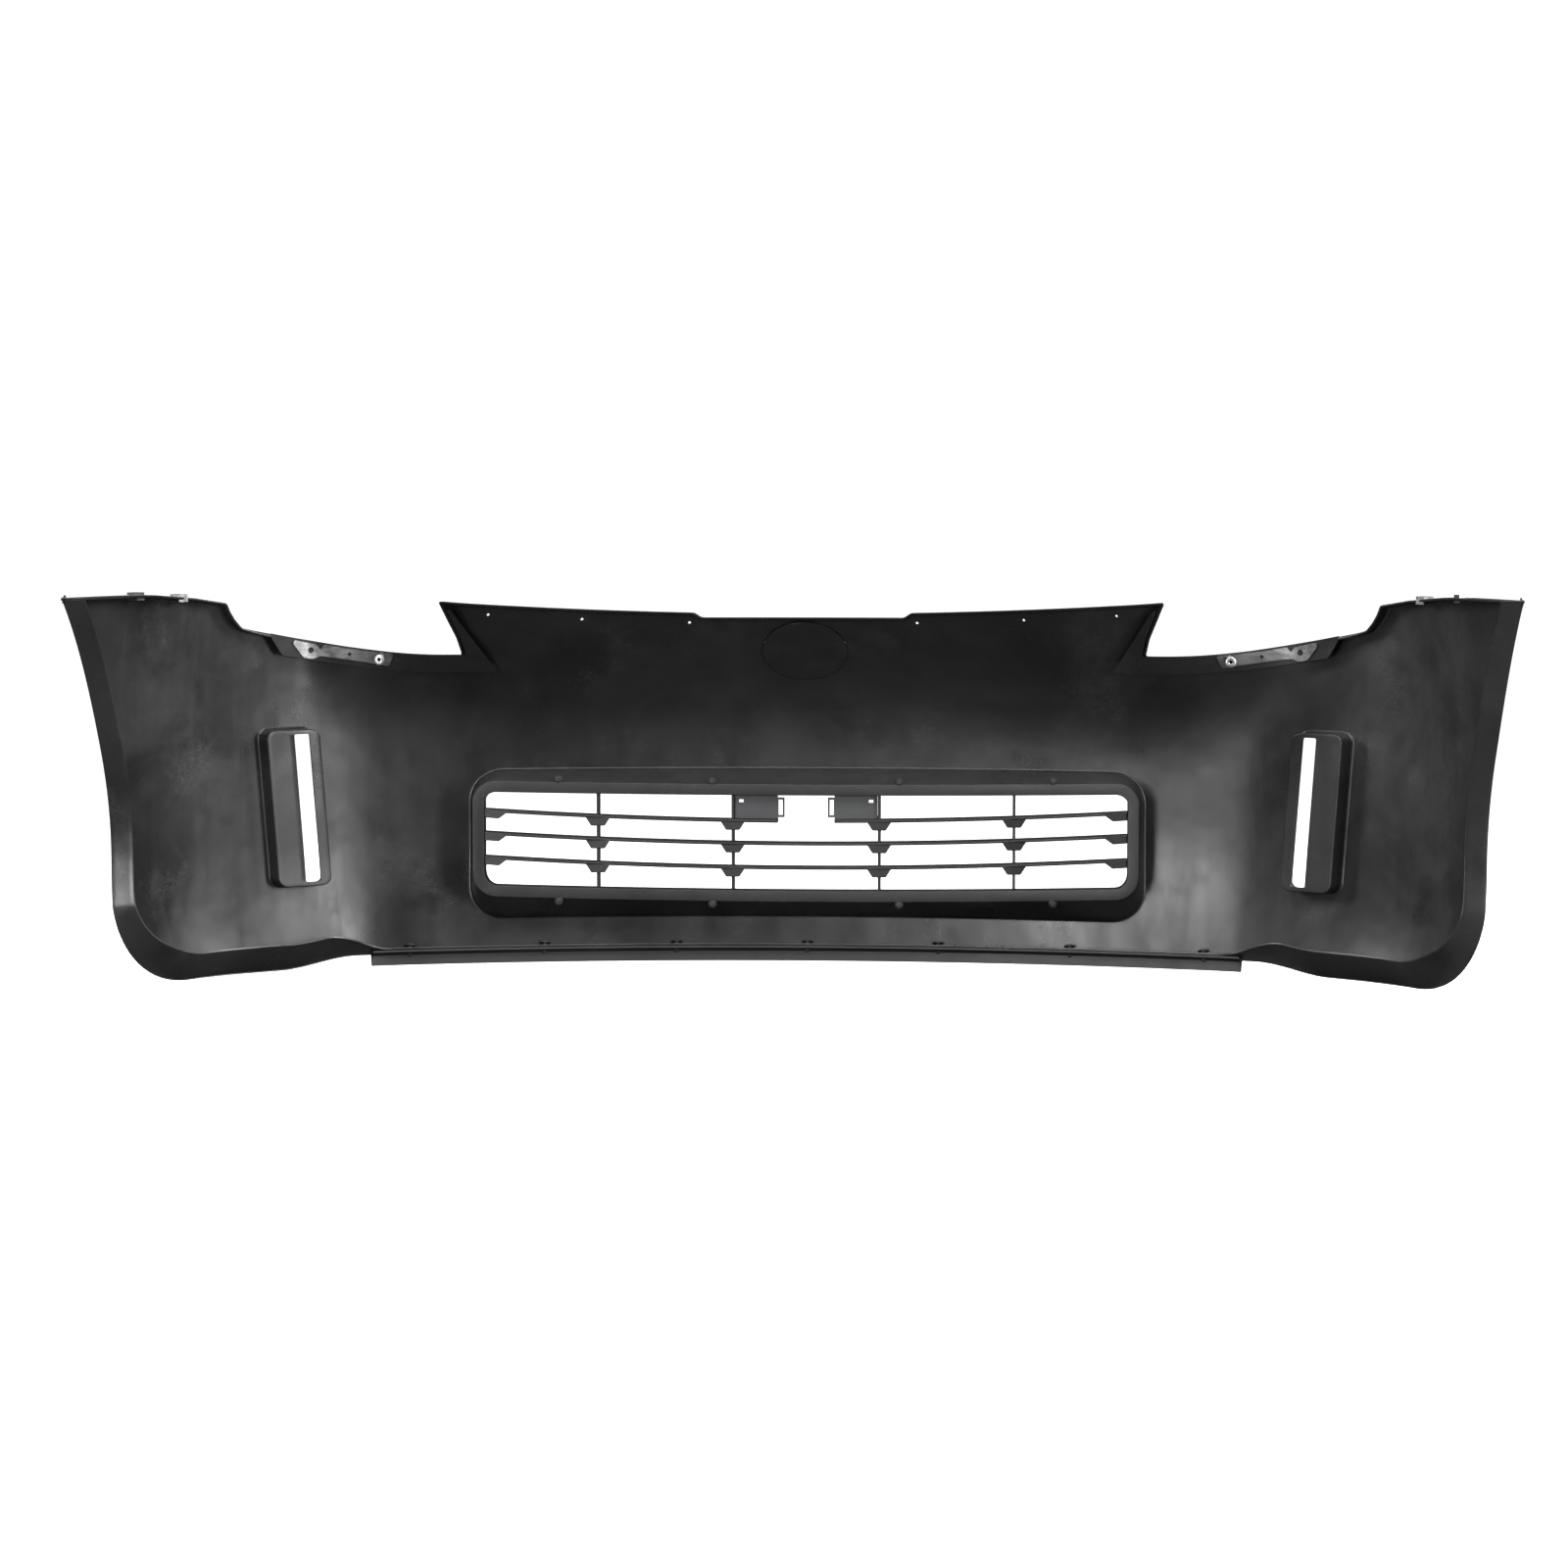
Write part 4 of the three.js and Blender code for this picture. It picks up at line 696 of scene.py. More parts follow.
def brushed_metal(name, dark, light, rough, brush):
    """Plated sheet steel: brushing along one axis, darker clouds and small scratches."""
    material, tree, shader = new_material(name)
    place = add_node(tree, "ShaderNodeTexCoord").outputs["Object"]
    marks = place_group(tree, "marks", handling_marks, Scratch_Size=160.0, Amount=1.0)
    lines = noise(tree, place, 260.0, 4.0, 0.6, stretch=brush)
    clouds = noise(tree, place, 30.0, 4.0, 0.6)
    shade = math_node(tree, "MULTIPLY_ADD", lines, 0.5, math_node(tree, "MULTIPLY", clouds, 0.6))
    colour = colour_mix(tree, spread(tree, shade, 0.35, 0.75), dark, light)
    dusty = math_node(tree, "MULTIPLY", marks.outputs["Dust"], 0.25)
    colour = colour_mix(tree, dusty, colour, METAL_DUST)
    tree.links.new(colour, shader.inputs["Base Color"])
    shader.inputs["Metallic"].default_value = 1.0
    value = math_node(tree, "MULTIPLY_ADD", lines, rough[1] - rough[0], rough[0])
    value = math_node(tree, "MULTIPLY_ADD", marks.outputs["Scratches"], 0.12, value, clamp=True)
    tree.links.new(value, shader.inputs["Roughness"])
    height = math_node(tree, "MULTIPLY_ADD", marks.outputs["Scratches"], -0.4, lines)
    relief = add_node(tree, "ShaderNodeBump", Strength=0.5, Distance=0.00006, Height=height)
    tree.links.new(relief.outputs[0], shader.inputs["Normal"])
    return material


# each plastic: name, dark and light colour, roughness range, grain size, bump distance
skin_black = plastic("satin black plastic", (0.0085, 0.0087, 0.009), (0.018, 0.0182, 0.0185),
                     (0.25, 0.36), 1100.0, 0.00035)
grille_black = plastic("grained black plastic", (0.007, 0.0071, 0.0073), (0.0125, 0.0126, 0.013),
                       (0.38, 0.5), 1500.0, 0.00022, flow=0.4)
lip_black = plastic("flexible black plastic", (0.009, 0.0091, 0.0094), (0.017, 0.017, 0.0175),
                    (0.42, 0.55), 1300.0, 0.00025, flow=0.5)
clip_black = plastic("black nylon", (0.014, 0.014, 0.0145), (0.024, 0.024, 0.025),
                     (0.4, 0.52), 1700.0, 0.0001, flow=0.3, wear=0.5)
bracket_grey = plastic("dark grey plastic", (0.034, 0.035, 0.037), (0.052, 0.053, 0.055),
                       (0.42, 0.54), 1500.0, 0.0001, flow=0.4, wear=0.8)
plated_steel = brushed_metal("brushed plated steel", (0.20, 0.20, 0.205), (0.52, 0.52, 0.51),
                             (0.26, 0.42), (0.05, 1.0, 1.0))

# ------------------------------------------------------------------ the cover's wall and edges

OUTLINE = cover_outline()
MOUTH_FLAT = resample(flat(*mouth_line(0.0).T), 0.004)
POCKETS_FLAT = [resample(flat(*pocket_line(sign, 0.0).T), 0.004) for sign in (-1, 1)]
PIN = {"x": 0.051, "z": SEAT_HEIGHT + 0.012, "radius": 0.003}
EDGE_HOLES = [(x, float(hood_edge(x)) - 0.014, 0.0025) for x in (0.150, 0.290, 0.410)]
ROUND_HOLES = [(sign * x, z, r) for sign in (-1, 1) for x, z, r in [*EDGE_HOLES, tuple(PIN.values())]]


def wall_distance(points):
    """Distance inside the wall's sheet: the least of the distances from its edge and its holes."""
    near = signed_distance(points, OUTLINE) - EDGE_ROUND
    for line in (MOUTH_FLAT, *POCKETS_FLAT):
        near = np.minimum(near, -signed_distance(points, line) - HOLE_LAP)
    for x, z, radius in ROUND_HOLES:
        centre = flat(x, z)
        factor = wall_factor(centre[0] / ARC, z)
        gap = np.hypot(points[:, 0] - centre[0], (points[:, 1] - z) * factor) - radius
        near = np.minimum(near, gap / factor)
    return near


def no_depth(s, z):
    """The outer surface."""
    return np.zeros(np.shape(s))


def wall_depth(s, z):
    """Level distance of the inner surface: the wall times the lean's factor."""
    return WALL * wall_factor(s, z)


hole_stations = [float(flat(x, z)[0]) for x, z, _ in ROUND_HOLES]
reach = float(OUTLINE[:, 0].max())
hole_heights = sorted({round(z, 4) for _, z, _ in ROUND_HOLES})
wall_columns = spaced(-reach, reach, 0.0072, hole_stations)
wall_rows = spaced(0.0, HEIGHT, 0.0070, hole_heights, fine_half=0.005)
cover_wall = trimmed_slab(wall_columns, wall_rows, wall_distance, no_depth, wall_depth)
add_piece("cover_wall", *cover_wall, skin_black, "skin", ["cover_skin"])


def edge_profile(depth, factor):
    """Section of a returned edge as distances from the outline and inwards, for each path point.

    A rounded outer corner, a flat down to the depth, a rounded end, the flat back and a
    fillet onto the wall's inner face, closed inside the wall.
    """
    inner = WALL * factor
    low = inner + EDGE_FILLET
    end = depth - EDGE_END
    rows = [(EDGE_LAP, SUNK)]
    rows += rounding(EDGE_ROUND, SUNK + EDGE_ROUND, EDGE_ROUND, -QUARTER, -2 * QUARTER, 6)
    rows += [(0.0, EDGE_ROUND + (end - EDGE_ROUND) * share) for share in (0.2, 0.4, 0.6, 0.8)]
    rows += rounding(EDGE_END, end, EDGE_END, 2 * QUARTER, QUARTER, 4)
    rows += rounding(WALL - EDGE_END, end, EDGE_END, QUARTER, 0.0, 4)
    rows += [(WALL, end + (low - end) * share) for share in (0.25, 0.5, 0.75)]
    rows += rounding(WALL + EDGE_FILLET, low, EDGE_FILLET, 2 * QUARTER, 3 * QUARTER, 6)
    behind = WALL + EDGE_FILLET + 0.0015
    rows += [(behind, inner - SUNK), (behind, 0.5 * inner), (EDGE_LAP, 0.5 * inner)]
    level = 0 * depth
    return np.array([f + level for f, _ in rows]).T, np.array([w + level for _, w in rows]).T


def edge_return():
    """The returned edge swept round the whole outline, deep and tilted at the feet."""
    a, z = OUTLINE.T
    normals = line_normals(OUTLINE)
    x = np.abs(skin(a / ARC, z)[:, 0])
    foot = smooth((x - FOOT_MIDDLE + FOOT_RAMP) / FOOT_RAMP)
    low = 1 - smooth((z + 0.004) / 0.135)
    tip = smooth((np.abs(a) - (reach - 0.30)) / 0.04)
    upper = TOP_RETURN + (ARCH_RETURN - TOP_RETURN) * tip
    depth = low * (MIDDLE_RETURN + (FOOT_RETURN - MIDDLE_RETURN) * foot) + (1 - low) * upper
    tilt = low * (MIDDLE_TILT + (FOOT_TILT - MIDDLE_TILT) * foot)
    turn = heading(np.abs(a / ARC))
    top = smooth((z - 0.36) / 0.04) * (1 - smooth((x - 0.70) / 0.06))
    arch = smooth((np.abs(a) - (reach - 0.22)) / 0.06) * (1 - low)
    square = top * np.tan(np.minimum(turn, 1.0)) - arch / np.tan(np.maximum(turn, 0.7))
    f, w = edge_profile(depth, wall_factor(a / ARC, z))
    across = f + tilt[:, None] * w
    at = OUTLINE[:, None, :] + normals[:, None, :] * across[..., None]
    at[..., 0] += np.sign(a)[:, None] * square[:, None] * w
    return ring_body(skin(at[..., 0] / ARC, at[..., 1], w))


add_piece("cover_edge", *edge_return(), skin_black, "skin", ["cover_skin"])


def emblem_seat():
    """A raised round seat on the inner face: its section turned on the leaning surface."""
    turn = np.linspace(0, 2 * math.pi, 180, endpoint=False)
    rise = WALL + SEAT_RISE
    rows = [(0.001, rise), (0.02, rise), (0.04, rise)]
    rows += rounding(SEAT_RADIUS - SEAT_ROUND, rise - SEAT_ROUND, SEAT_ROUND, QUARTER, 0.0, 6)
    rows += [(SEAT_RADIUS, WALL * 0.6), (0.03, WALL * 0.6), (0.001, WALL * 0.6)]
    factor = float(wall_factor(0.0, SEAT_HEIGHT))
    sections = [skin(r * np.cos(turn) / ARC, SEAT_HEIGHT + r * np.sin(turn) / factor, d * factor)
                for r, d in rows]
    return bar_body(sections)


add_piece("emblem_seat", *emblem_seat(), skin_black, "skin", ["cover_skin"])

# ------------------------------------------------------------------ mouth and grille


def grille_rise(x, z):
    """How much the grille rises at x: a share of x squared, most at the slats."""
    upper = 0.010 * smooth((z - 0.192) / 0.035)
    lower = 0.007 * smooth((0.129 - z) / 0.030)
    return (0.016 - upper - lower) * np.minimum((x / GRILLE["half"]) ** 2, 1.1)


def grille_plane(x):
    """Place along the car of the grille's middle plane: a parabola over x."""
    return NOSE_Y - GRILLE_SETBACK - GRILLE_BOW * x * x


def grille_point(x, z, depth):
    """Point of the grille: behind its parabolic middle plane by a depth, raised by its bow."""
    x, z, depth = np.broadcast_arrays(
        np.asarray(x, float), np.asarray(z, float), np.asarray(depth, float)
    )
    return np.stack([x, grille_plane(x) - depth, z + grille_rise(x, z)], axis=-1)


def grille_loop(margin, depth):
    """A loop round the grille's opening, grown by a margin, at a depth behind its plane."""
    line = grown(GRILLE, margin)
    return grille_point(line[:, 0], line[:, 1], depth)


def skin_loop(line, depth):
    """A loop on the cover at outline points seen from behind, a level distance inwards."""
    s = station_at(line[:, 0], line[:, 1])
    return skin(s, line[:, 1], depth * (wall_factor(s, line[:, 1]) if depth > EDGE_ROUND else 1.0))


def mouth_funnel():
    """The funnel from the mouth's rounded edge to the grille, with a small step near its end."""
    r, lip, step = FUNNEL_ROUND, FRAME_WIDTH + 0.0006, 0.0016
    front = [(RIM_LAP, SUNK)] + rounding(-WALL + r, SUNK + r, r, -QUARTER, -2 * QUARTER, 6)
    start = skin_loop(mouth_line(-WALL), 0.0035)
    end = grille_loop(lip, FRAME_REAR)
    inner = [start + (end - start) * t for t in (0.0, 0.2, 0.4, 0.6, 0.72)]
    wide = grille_loop(FRAME_WIDTH + 0.0022, FRAME_REAR)
    start_wide = skin_loop(mouth_line(-WALL + step), 0.0035)
    inner += [start_wide + (wide - start_wide) * t for t in (0.74, 0.85, 0.96, 1.0)]
    rear = [grille_loop(FRAME_WIDTH + 0.0022 + d, FRAME_REAR + b) for d, b in
            ((0.0004, 0.0008), (0.0013, 0.0012), (0.0022, 0.0008))]
    outer_end = grille_loop(FRAME_WIDTH + GAP + WALL, FRAME_REAR)
    outer_start = skin_loop(mouth_line(0.0), WALL + FILLET)
    back = [outer_end + (outer_start - outer_end) * t for t in (0.0, 0.25, 0.5, 0.75, 1.0)]
    fillet = rounding(FILLET, WALL + FILLET - SUNK, FILLET, 2 * QUARTER + 0.2, 3 * QUARTER, 5)
    fillet.append((RIM_LAP, 0.5 * WALL))
    first, last = ([skin_loop(mouth_line(m), d) for m, d in rows] for rows in (front, fillet))
    return ring_body(first + inner + rear + back + last)


def boss(x, z):
    """A screw's boss: a tapered round bar on the grille's screw axis."""
    turn = np.linspace(0, 2 * math.pi, 24, endpoint=False)
    rear = FRAME_REAR
    rows = [(0.0033, -0.004), (0.0042, 0.004), (0.0052, rear - 0.0006), (0.0048, rear),
            (0.0024, rear), (0.0024, rear - 0.003)]
    sections = []
    for r, depth in rows:
        across = x + r * np.cos(turn)
        sections.append(np.stack([across, grille_plane(across) - depth, z + r * np.sin(turn)], axis=1))
    return bar_body(sections)


def screw_places():
    """Screw centres round the grille, seen from behind, with the grille's rise in them."""
    out = FRAME_WIDTH + GAP + WALL + 0.005
    rows = [GRILLE["top"] + out, GRILLE["bottom"] - out]
    return [(x, float(z + grille_rise(x, z))) for z in rows for x in (-0.330, -0.125, 0.125, 0.330)]


bosses = [boss(x, z) for x, z in screw_places()]
add_piece("mouth_funnel", *joined([mouth_funnel(), *bosses]), skin_black, "skin", ["cover_skin"])


def marker_pocket(sign):
    """The recess of a marker lamp: rounded rim, wall, floor with its slot, and outer walls."""
    def ring(margin, depth):
        line = pocket_line(sign, margin)
        return skin(station_at(line[:, 0], line[:, 1]), line[:, 1], depth)

    def toward_slot(share, depth):
        line = pocket_line(sign, -WALL - foot) * (1 - share) + slot_line(sign) * share
        return skin(station_at(line[:, 0], line[:, 1]), line[:, 1], depth)

    r, foot, back, slot_round = 0.0018, 0.0025, 0.0015, 0.0006
    deep, floor = POCKET_DEPTH, POCKET_DEPTH - WALL
    front = [(RIM_LAP, SUNK)] + rounding(-WALL + r, SUNK + r, r, -QUARTER, -2 * QUARTER, 6)
    front += [(-WALL, d) for d in (0.008, 0.015, floor - foot)]
    front += rounding(-WALL - foot, floor - foot, foot, 0.3, QUARTER, 5)
    slot = [(share, floor) for share in (0.25, 0.5, 0.75, 0.96)]
    slot += [(1.0, floor + slot_round), (1.0, deep - slot_round)]
    slot += [(share, deep) for share in (0.96, 0.75, 0.5, 0.25, 0.0)]
    rear = [(-back, deep)] + rounding(-back, deep - back, back, QUARTER - 0.3, 0.0, 4)
    rear += [(0.0, d) for d in (0.018, 0.012, WALL + FILLET)]
    rear += rounding(FILLET, WALL + FILLET - SUNK, FILLET, 2 * QUARTER + 0.3, 3 * QUARTER, 4)
    rear.append((RIM_LAP, 0.5 * WALL))
    loops = [ring(m, d) for m, d in front] + [toward_slot(share, d) for share, d in slot]
    return ring_body(loops + [ring(m, d) for m, d in rear])


for name, sign in SIDES:
    add_piece("marker_pocket_" + name, *marker_pocket(sign), skin_black, "skin", ["cover_skin"])


def rounded_section(half_depth, half_height, count=10, power=0.62):
    """A flat oval with round ends and flat faces: cosine and sine raised to a power."""
    turn = np.linspace(0, 2 * math.pi, 4 * count, endpoint=False)
    c, s = np.cos(turn), np.sin(turn)
    depth = half_depth * np.sign(c) * np.abs(c) ** power
    return depth, half_height * np.sign(s) * np.abs(s) ** power


def slat_blade(row, x0, x1):
    """A slat: the flat oval carried along the grille's parabola and bow, rounded at its ends."""
    middle = np.linspace(x0 + 0.0012, x1 - 0.0012, int((x1 - x0) / 0.006))
    x = np.concatenate([[x0, x0 + 0.0004], middle, [x1 - 0.0004, x1]])
    grow = np.concatenate([[0.9, 0.97], np.ones(len(x) - 4), [0.97, 0.9]])
    depth, height = rounded_section(SLAT_DEPTH / 2, SLAT_THICKNESS / 2)
    sections = grille_point(x[:, None], SLATS[row], depth[None] * grow[:, None])
    sections[..., 2] += height[None] * grow[:, None]
    return bar_body(sections)


def block(outline, depths, bevel=0.0008):
    """A block: an outline seen from behind carried along the car, shrunk a little at each end."""
    outline = np.asarray(outline)
    middle = outline.mean(axis=0)
    size = np.abs(outline - middle).max(axis=0)
    y0, y1 = depths
    full, shrunk = np.ones(2), 1 - bevel / size
    sections = []
    for scale, y in ((shrunk, y0), (full, y0 + bevel), (full, y1 - bevel), (shrunk, y1)):
        x, z = (middle + (outline - middle) * scale).T
        sections.append(np.stack([x, np.full(len(outline), y), z], axis=1))
    return bar_body(sections)


def rounded_polygon(corners, radius=0.0012, steps=4):
    """A polygon's corners replaced by quadratic curves that start a radius away on each side."""
    corners = np.asarray(corners, float)
    before = np.roll(corners, 1, axis=0) - corners
    after = np.roll(corners, -1, axis=0) - corners
    before *= radius / np.linalg.norm(before, axis=1, keepdims=True)
    after *= radius / np.linalg.norm(after, axis=1, keepdims=True)
    t = np.linspace(0, 1, steps)[None, :, None]
    start, end = (corners + before)[:, None], (corners + after)[:, None]
    curve = start * (1 - t) ** 2 + corners[:, None] * 2 * t * (1 - t) + end * t**2
    return curve.reshape(-1, 2)


def knuckle(x, row):
    """The trapezoid block under a slat where a rib crosses it."""
    z = SLATS[row] + float(grille_rise(x, SLATS[row]))
    low = z - SLAT_THICKNESS / 2 - 0.010
    corners = [(x - 0.017, z), (x - 0.009, low), (x + 0.009, low), (x + 0.017, z)]
    y = grille_plane(x)
    return block(rounded_polygon(corners), (y - SLAT_DEPTH / 2 + 0.001, y - 0.0024))


def end_block(x, row):
    """The thicker block at a slat's outer end."""
    side = math.copysign(1, x)
    z = SLATS[row] + float(grille_rise(x, SLATS[row]))
    inner_z = SLATS[row] + float(grille_rise(x - side * 0.020, SLATS[row]))
    top, drop = SLAT_THICKNESS / 2, 0.0095
    thin_x = x - side * 0.030
    corners = [(x, z + top), (thin_x, inner_z + top - 0.001), (thin_x, inner_z - top + 0.001),
               (x - side * 0.019, inner_z - drop), (x, z - drop)]
    y = grille_plane(x)
    return block(rounded_polygon(corners), (y - SLAT_DEPTH / 2 + 0.001, y + 0.006))


def slat(row, x0, x1, ribs):
    """A slat with its knuckles and end blocks."""
    bodies = [slat_blade(row, x0, x1)]
    bodies += [knuckle(x, row) for x in ribs]
    bodies += [end_block(x, row) for x in (x0, x1) if abs(x) > GRILLE["half"] / 2]
    return joined(bodies)


def rib(x):
    """An upright rib: a rounded oblong carried upwards, seen edge on from behind."""
    z = np.linspace(GRILLE["bottom"] + GAP, GRILLE["top"] - GAP, 40)
    depth, width = rounded_section(0.011, RIB_THICKNESS / 2, power=0.45)
    sections = grille_point(x + width[None] + 0 * z[:, None], z[:, None], depth[None])
    return bar_body(sections)


def grille_frame():
    """The grille's frame: a rounded angle section carried round the opening, with screw ears."""
    rear = FRAME_REAR
    corners = [(FRAME_WIDTH, -rear), (FRAME_WIDTH, rear + GAP), (0.015, rear + GAP),
               (0.015, rear + 0.003), (0.0, rear + 0.003), (0.0, -rear)]
    profile = rounded_polygon(corners, 0.0009, 4)
    turn = np.linspace(0, 2 * math.pi, 28, endpoint=False)
    bodies = [ring_body([grille_loop(m, d) for m, d in profile])]
    for x, z in screw_places():
        sections = []
        for r, depth in ((0.0056, rear + 0.0005), (0.0056, rear + 0.0024), (0.0050, rear + 0.003)):
            y = np.full(len(turn), grille_plane(x) - depth)
            sections.append(np.stack([x + r * np.cos(turn), y, z + r * np.sin(turn)], axis=1))
        bodies.append(bar_body(sections))
    return joined(bodies)


rib_places = [-RIBS["outer"], -RIBS["inner"], RIBS["inner"], RIBS["outer"]]
add_piece("grille_frame_moulding", *grille_frame(), grille_black, "grille", ["grille_frame"])
for row in ("middle", "lower"):
    halves = [f"slat_{row}_left", f"slat_{row}_right"]
    blade = slat(row, -SLAT_END, SLAT_END, rib_places)
    add_piece(row + "_slat", *blade, grille_black, "grille", halves)
for name, sign in SIDES:
    ends = (PLATE_INNER, SLAT_END) if sign > 0 else (-SLAT_END, -PLATE_INNER)
    ribs = [x for x in rib_places if x * sign > 0]
    blade = slat("upper", *ends, ribs)
    add_piece("upper_slat_" + name, *blade, grille_black, "grille", ["slat_upper_" + name])
    for where, x in RIBS.items():
        nodes = [f"rib_{where}_{name}"]
        add_piece(f"{where}_rib_{name}", *rib(sign * x), grille_black, "grille", nodes)

# ------------------------------------------------------------------ lamp brackets and second walls

BRACKET_MIDDLE = (HORN_BASE + LAMP_OUTER) / 2 + 0.012
BRACKET_INNER, BRACKET_OUTER = BRACKET_MIDDLE - 0.065, BRACKET_MIDDLE + 0.065
TAB_HOLE = (BRACKET_OUTER - 0.021, float(lamp_lip(BRACKET_OUTER - 0.021)) - 0.011, 0.004)
SMALL_HOLE = (BRACKET_INNER + 0.060, float(lamp_lip(BRACKET_INNER + 0.060)) - 0.009, 0.0025)
RIVET_HOLE = (BRACKET_INNER + 0.019, float(lamp_lip(BRACKET_INNER + 0.019)) - 0.011, 0.0044)


def shifted_line(corners, sign, inwards):
    """An outline seen from behind as sheet coordinates of a surface a distance inwards."""
    corners = np.asarray(corners)
    a = station_at(corners[:, 0], corners[:, 1], inwards) * ARC * sign
    line = np.stack([a, corners[:, 1]], axis=1)
    return line if sign > 0 else line[::-1]


def plate_slab(corners, sign, near, far, step, holes=(), edge_gap=0.0):
    """A plate that follows the cover between two distances, trimmed to an outline with holes."""
    middle = (near + far) / 2
    line = resample(shifted_line(corners, sign, middle), 0.0015)
    centres = [(float(station_at(x, z, middle)) * ARC * sign, z, r) for x, z, r in holes]

    def distance(points):
        inside = signed_distance(points, line)
        if edge_gap:
            inside = np.minimum(inside, signed_distance(points, OUTLINE) - edge_gap)
        for a, z, radius in centres:
            inside = np.minimum(inside, np.hypot(points[:, 0] - a, points[:, 1] - z) - radius)
        return inside

    columns = spaced(line[:, 0].min() - step, line[:, 0].max() + step, step)
    rows = spaced(line[:, 1].min() - step, line[:, 1].max() + step, step)
    return trimmed_slab(columns, rows, distance, lambda s, z: near + 0 * s, lambda s, z: far + 0 * s)


def apron(sign):
    """The second wall that hangs from the lamp lip's returned edge, with the horn's gusset."""
    deep = HORN_BASE - 0.044
    x = np.linspace(deep, BRACKET_OUTER + 0.014, 30)
    low = [(deep, LAMP_INNER_HEIGHT - 0.025)] + [(v, float(lamp_lip(v)) - 0.024) for v in x[1:]]
    end = low[-1][0] + 0.012
    tip = HORN_BASE + HORN_LEAN
    upper = [(end, float(lamp_lip(end)) - 0.003), (end, HEIGHT), (tip - 0.002, HEIGHT),
             (tip - 0.010, float(hood_edge(tip)) - 0.004)]
    near = TOP_RETURN - WALL
    return plate_slab(low + upper, sign, near, TOP_RETURN, 0.0035, [RIVET_HOLE], 0.0005)


def lamp_bracket(sign):
    """The sheet-metal strip under the lamp lip, with its notch and wider outer tab."""
    def under(x, drop, at=None):
        """A corner at x, a drop below the lamp lip at x or at another place."""
        return x, float(lamp_lip(x if at is None else at)) - drop

    x0, x1 = BRACKET_INNER, BRACKET_OUTER
    notch = x1 - 0.033
    inner = notch - 0.005
    corners = [under(x0 + 0.008, 0.018, x0), under(notch, 0.017), under(notch + 0.010, 0.027, x1),
               under(x1 - 0.012, 0.025, x1), under(x1, 0.006), under(x1 - 0.002, 0.0015, x1),
               under(notch + 0.005, 0.0015, notch), under(notch, 0.009), under(inner, 0.002, notch)]
    corners += [under(inner + (x0 - inner) * t, 0.002) for t in (1 / 3, 2 / 3, 1.0)]
    near = TOP_RETURN + GAP
    return plate_slab(rounded_polygon(corners, 0.0016), sign, near, near + 0.002, 0.0013,
                      [TAB_HOLE, SMALL_HOLE, RIVET_HOLE])


def turned(profile, centre, axis, count=40):
    """A turned piece: radii and heights carried round an axis through a centre."""
    axis = np.asarray(axis, float) / np.linalg.norm(axis)
    side = np.cross(axis, [0.0, 0.0, 1.0] if abs(axis[2]) < 0.9 else [1.0, 0.0, 0.0])
    side /= np.linalg.norm(side)
    other = np.cross(axis, side)
    turn = np.linspace(0, 2 * math.pi, count, endpoint=False)
    circle = np.cos(turn)[:, None] * side + np.sin(turn)[:, None] * other
    return [np.asarray(centre) + axis * h + circle * r for r, h in profile]


def lamp_rivet(node):
    """A tubular rivet: a rolled flange at each end and a bore through it."""
    low, high = (np.array(v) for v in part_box(node))
    centre, length = (low + high) / 2, high[1] - low[1]
    h = length / 2
    flange = [(0.0022, 0.0006), (0.0030, 0.0), (0.0058, 0.0), (0.0068, 0.0005), (0.0069, 0.0011),
              (0.0060, 0.0014), (0.0040, 0.0016)]
    profile = [(r, -h + in_from_end) for r, in_from_end in flange]
    profile += [(r, h - in_from_end) for r, in_from_end in reversed(flange)]
    return ring_body(turned(profile, centre, (0, 1, 0)))


for name, sign in SIDES:
    bracket, rivet = "lamp_bracket_" + name, "lamp_rivet_" + name
    add_piece("lamp_apron_" + name, *apron(sign), skin_black, "skin", ["cover_skin"])
    add_piece("lamp_bracket_sheet_" + name, *lamp_bracket(sign), plated_steel, "steel", [bracket])
    add_piece("rivet_" + name, *lamp_rivet(rivet), plated_steel, "steel", [rivet])

# ------------------------------------------------------------------ lip and fasteners


def lip_reach():
    """Half of the lower lip's length, seen from behind."""
    return FOOT_MIDDLE - FOOT_RAMP / 2 - 0.018


def lower_lip():
    """The lower lip: an upright blade and a foot along the bottom edge, as one angle section."""
    end = float(station_at(lip_reach(), FOOT_RISE))
    s = np.linspace(-end, end, 260)
    front, rear, back = LIP_FRONT, LIP_FRONT + LIP_BLADE, LIP_BACK
    front_top, rear_top, back_top = (FOOT_RISE - GAP + MIDDLE_TILT * w for w in (front, rear, back))
    corners = [(front, 0.0), (rear, 0.0), (rear, rear_top - LIP_FOOT), (back, back_top - LIP_FOOT),
               (back, back_top), (front, front_top)]
    profile = rounded_polygon(corners, 0.0008, 4)
    return bar_body(skin(s[:, None], profile[None, :, 1], profile[None, :, 0]))


def screw_head(x, z):
    """A pan head with a shallow dish, on a short shank."""
    y = grille_plane(x) - FRAME_REAR - 0.0034
    profile = [(0.0002, -0.0016), (0.0012, -0.0015), (0.0016, -0.0022), (0.0029, -0.0020),
               (0.0036, -0.0012), (0.0038, -0.0003), (0.0038, 0.0), (0.0020, 0.0),
               (0.0019, 0.010), (0.0004, 0.012)]
    return bar_body(turned(profile, (x, y, z), (0, 1, 0), 36))


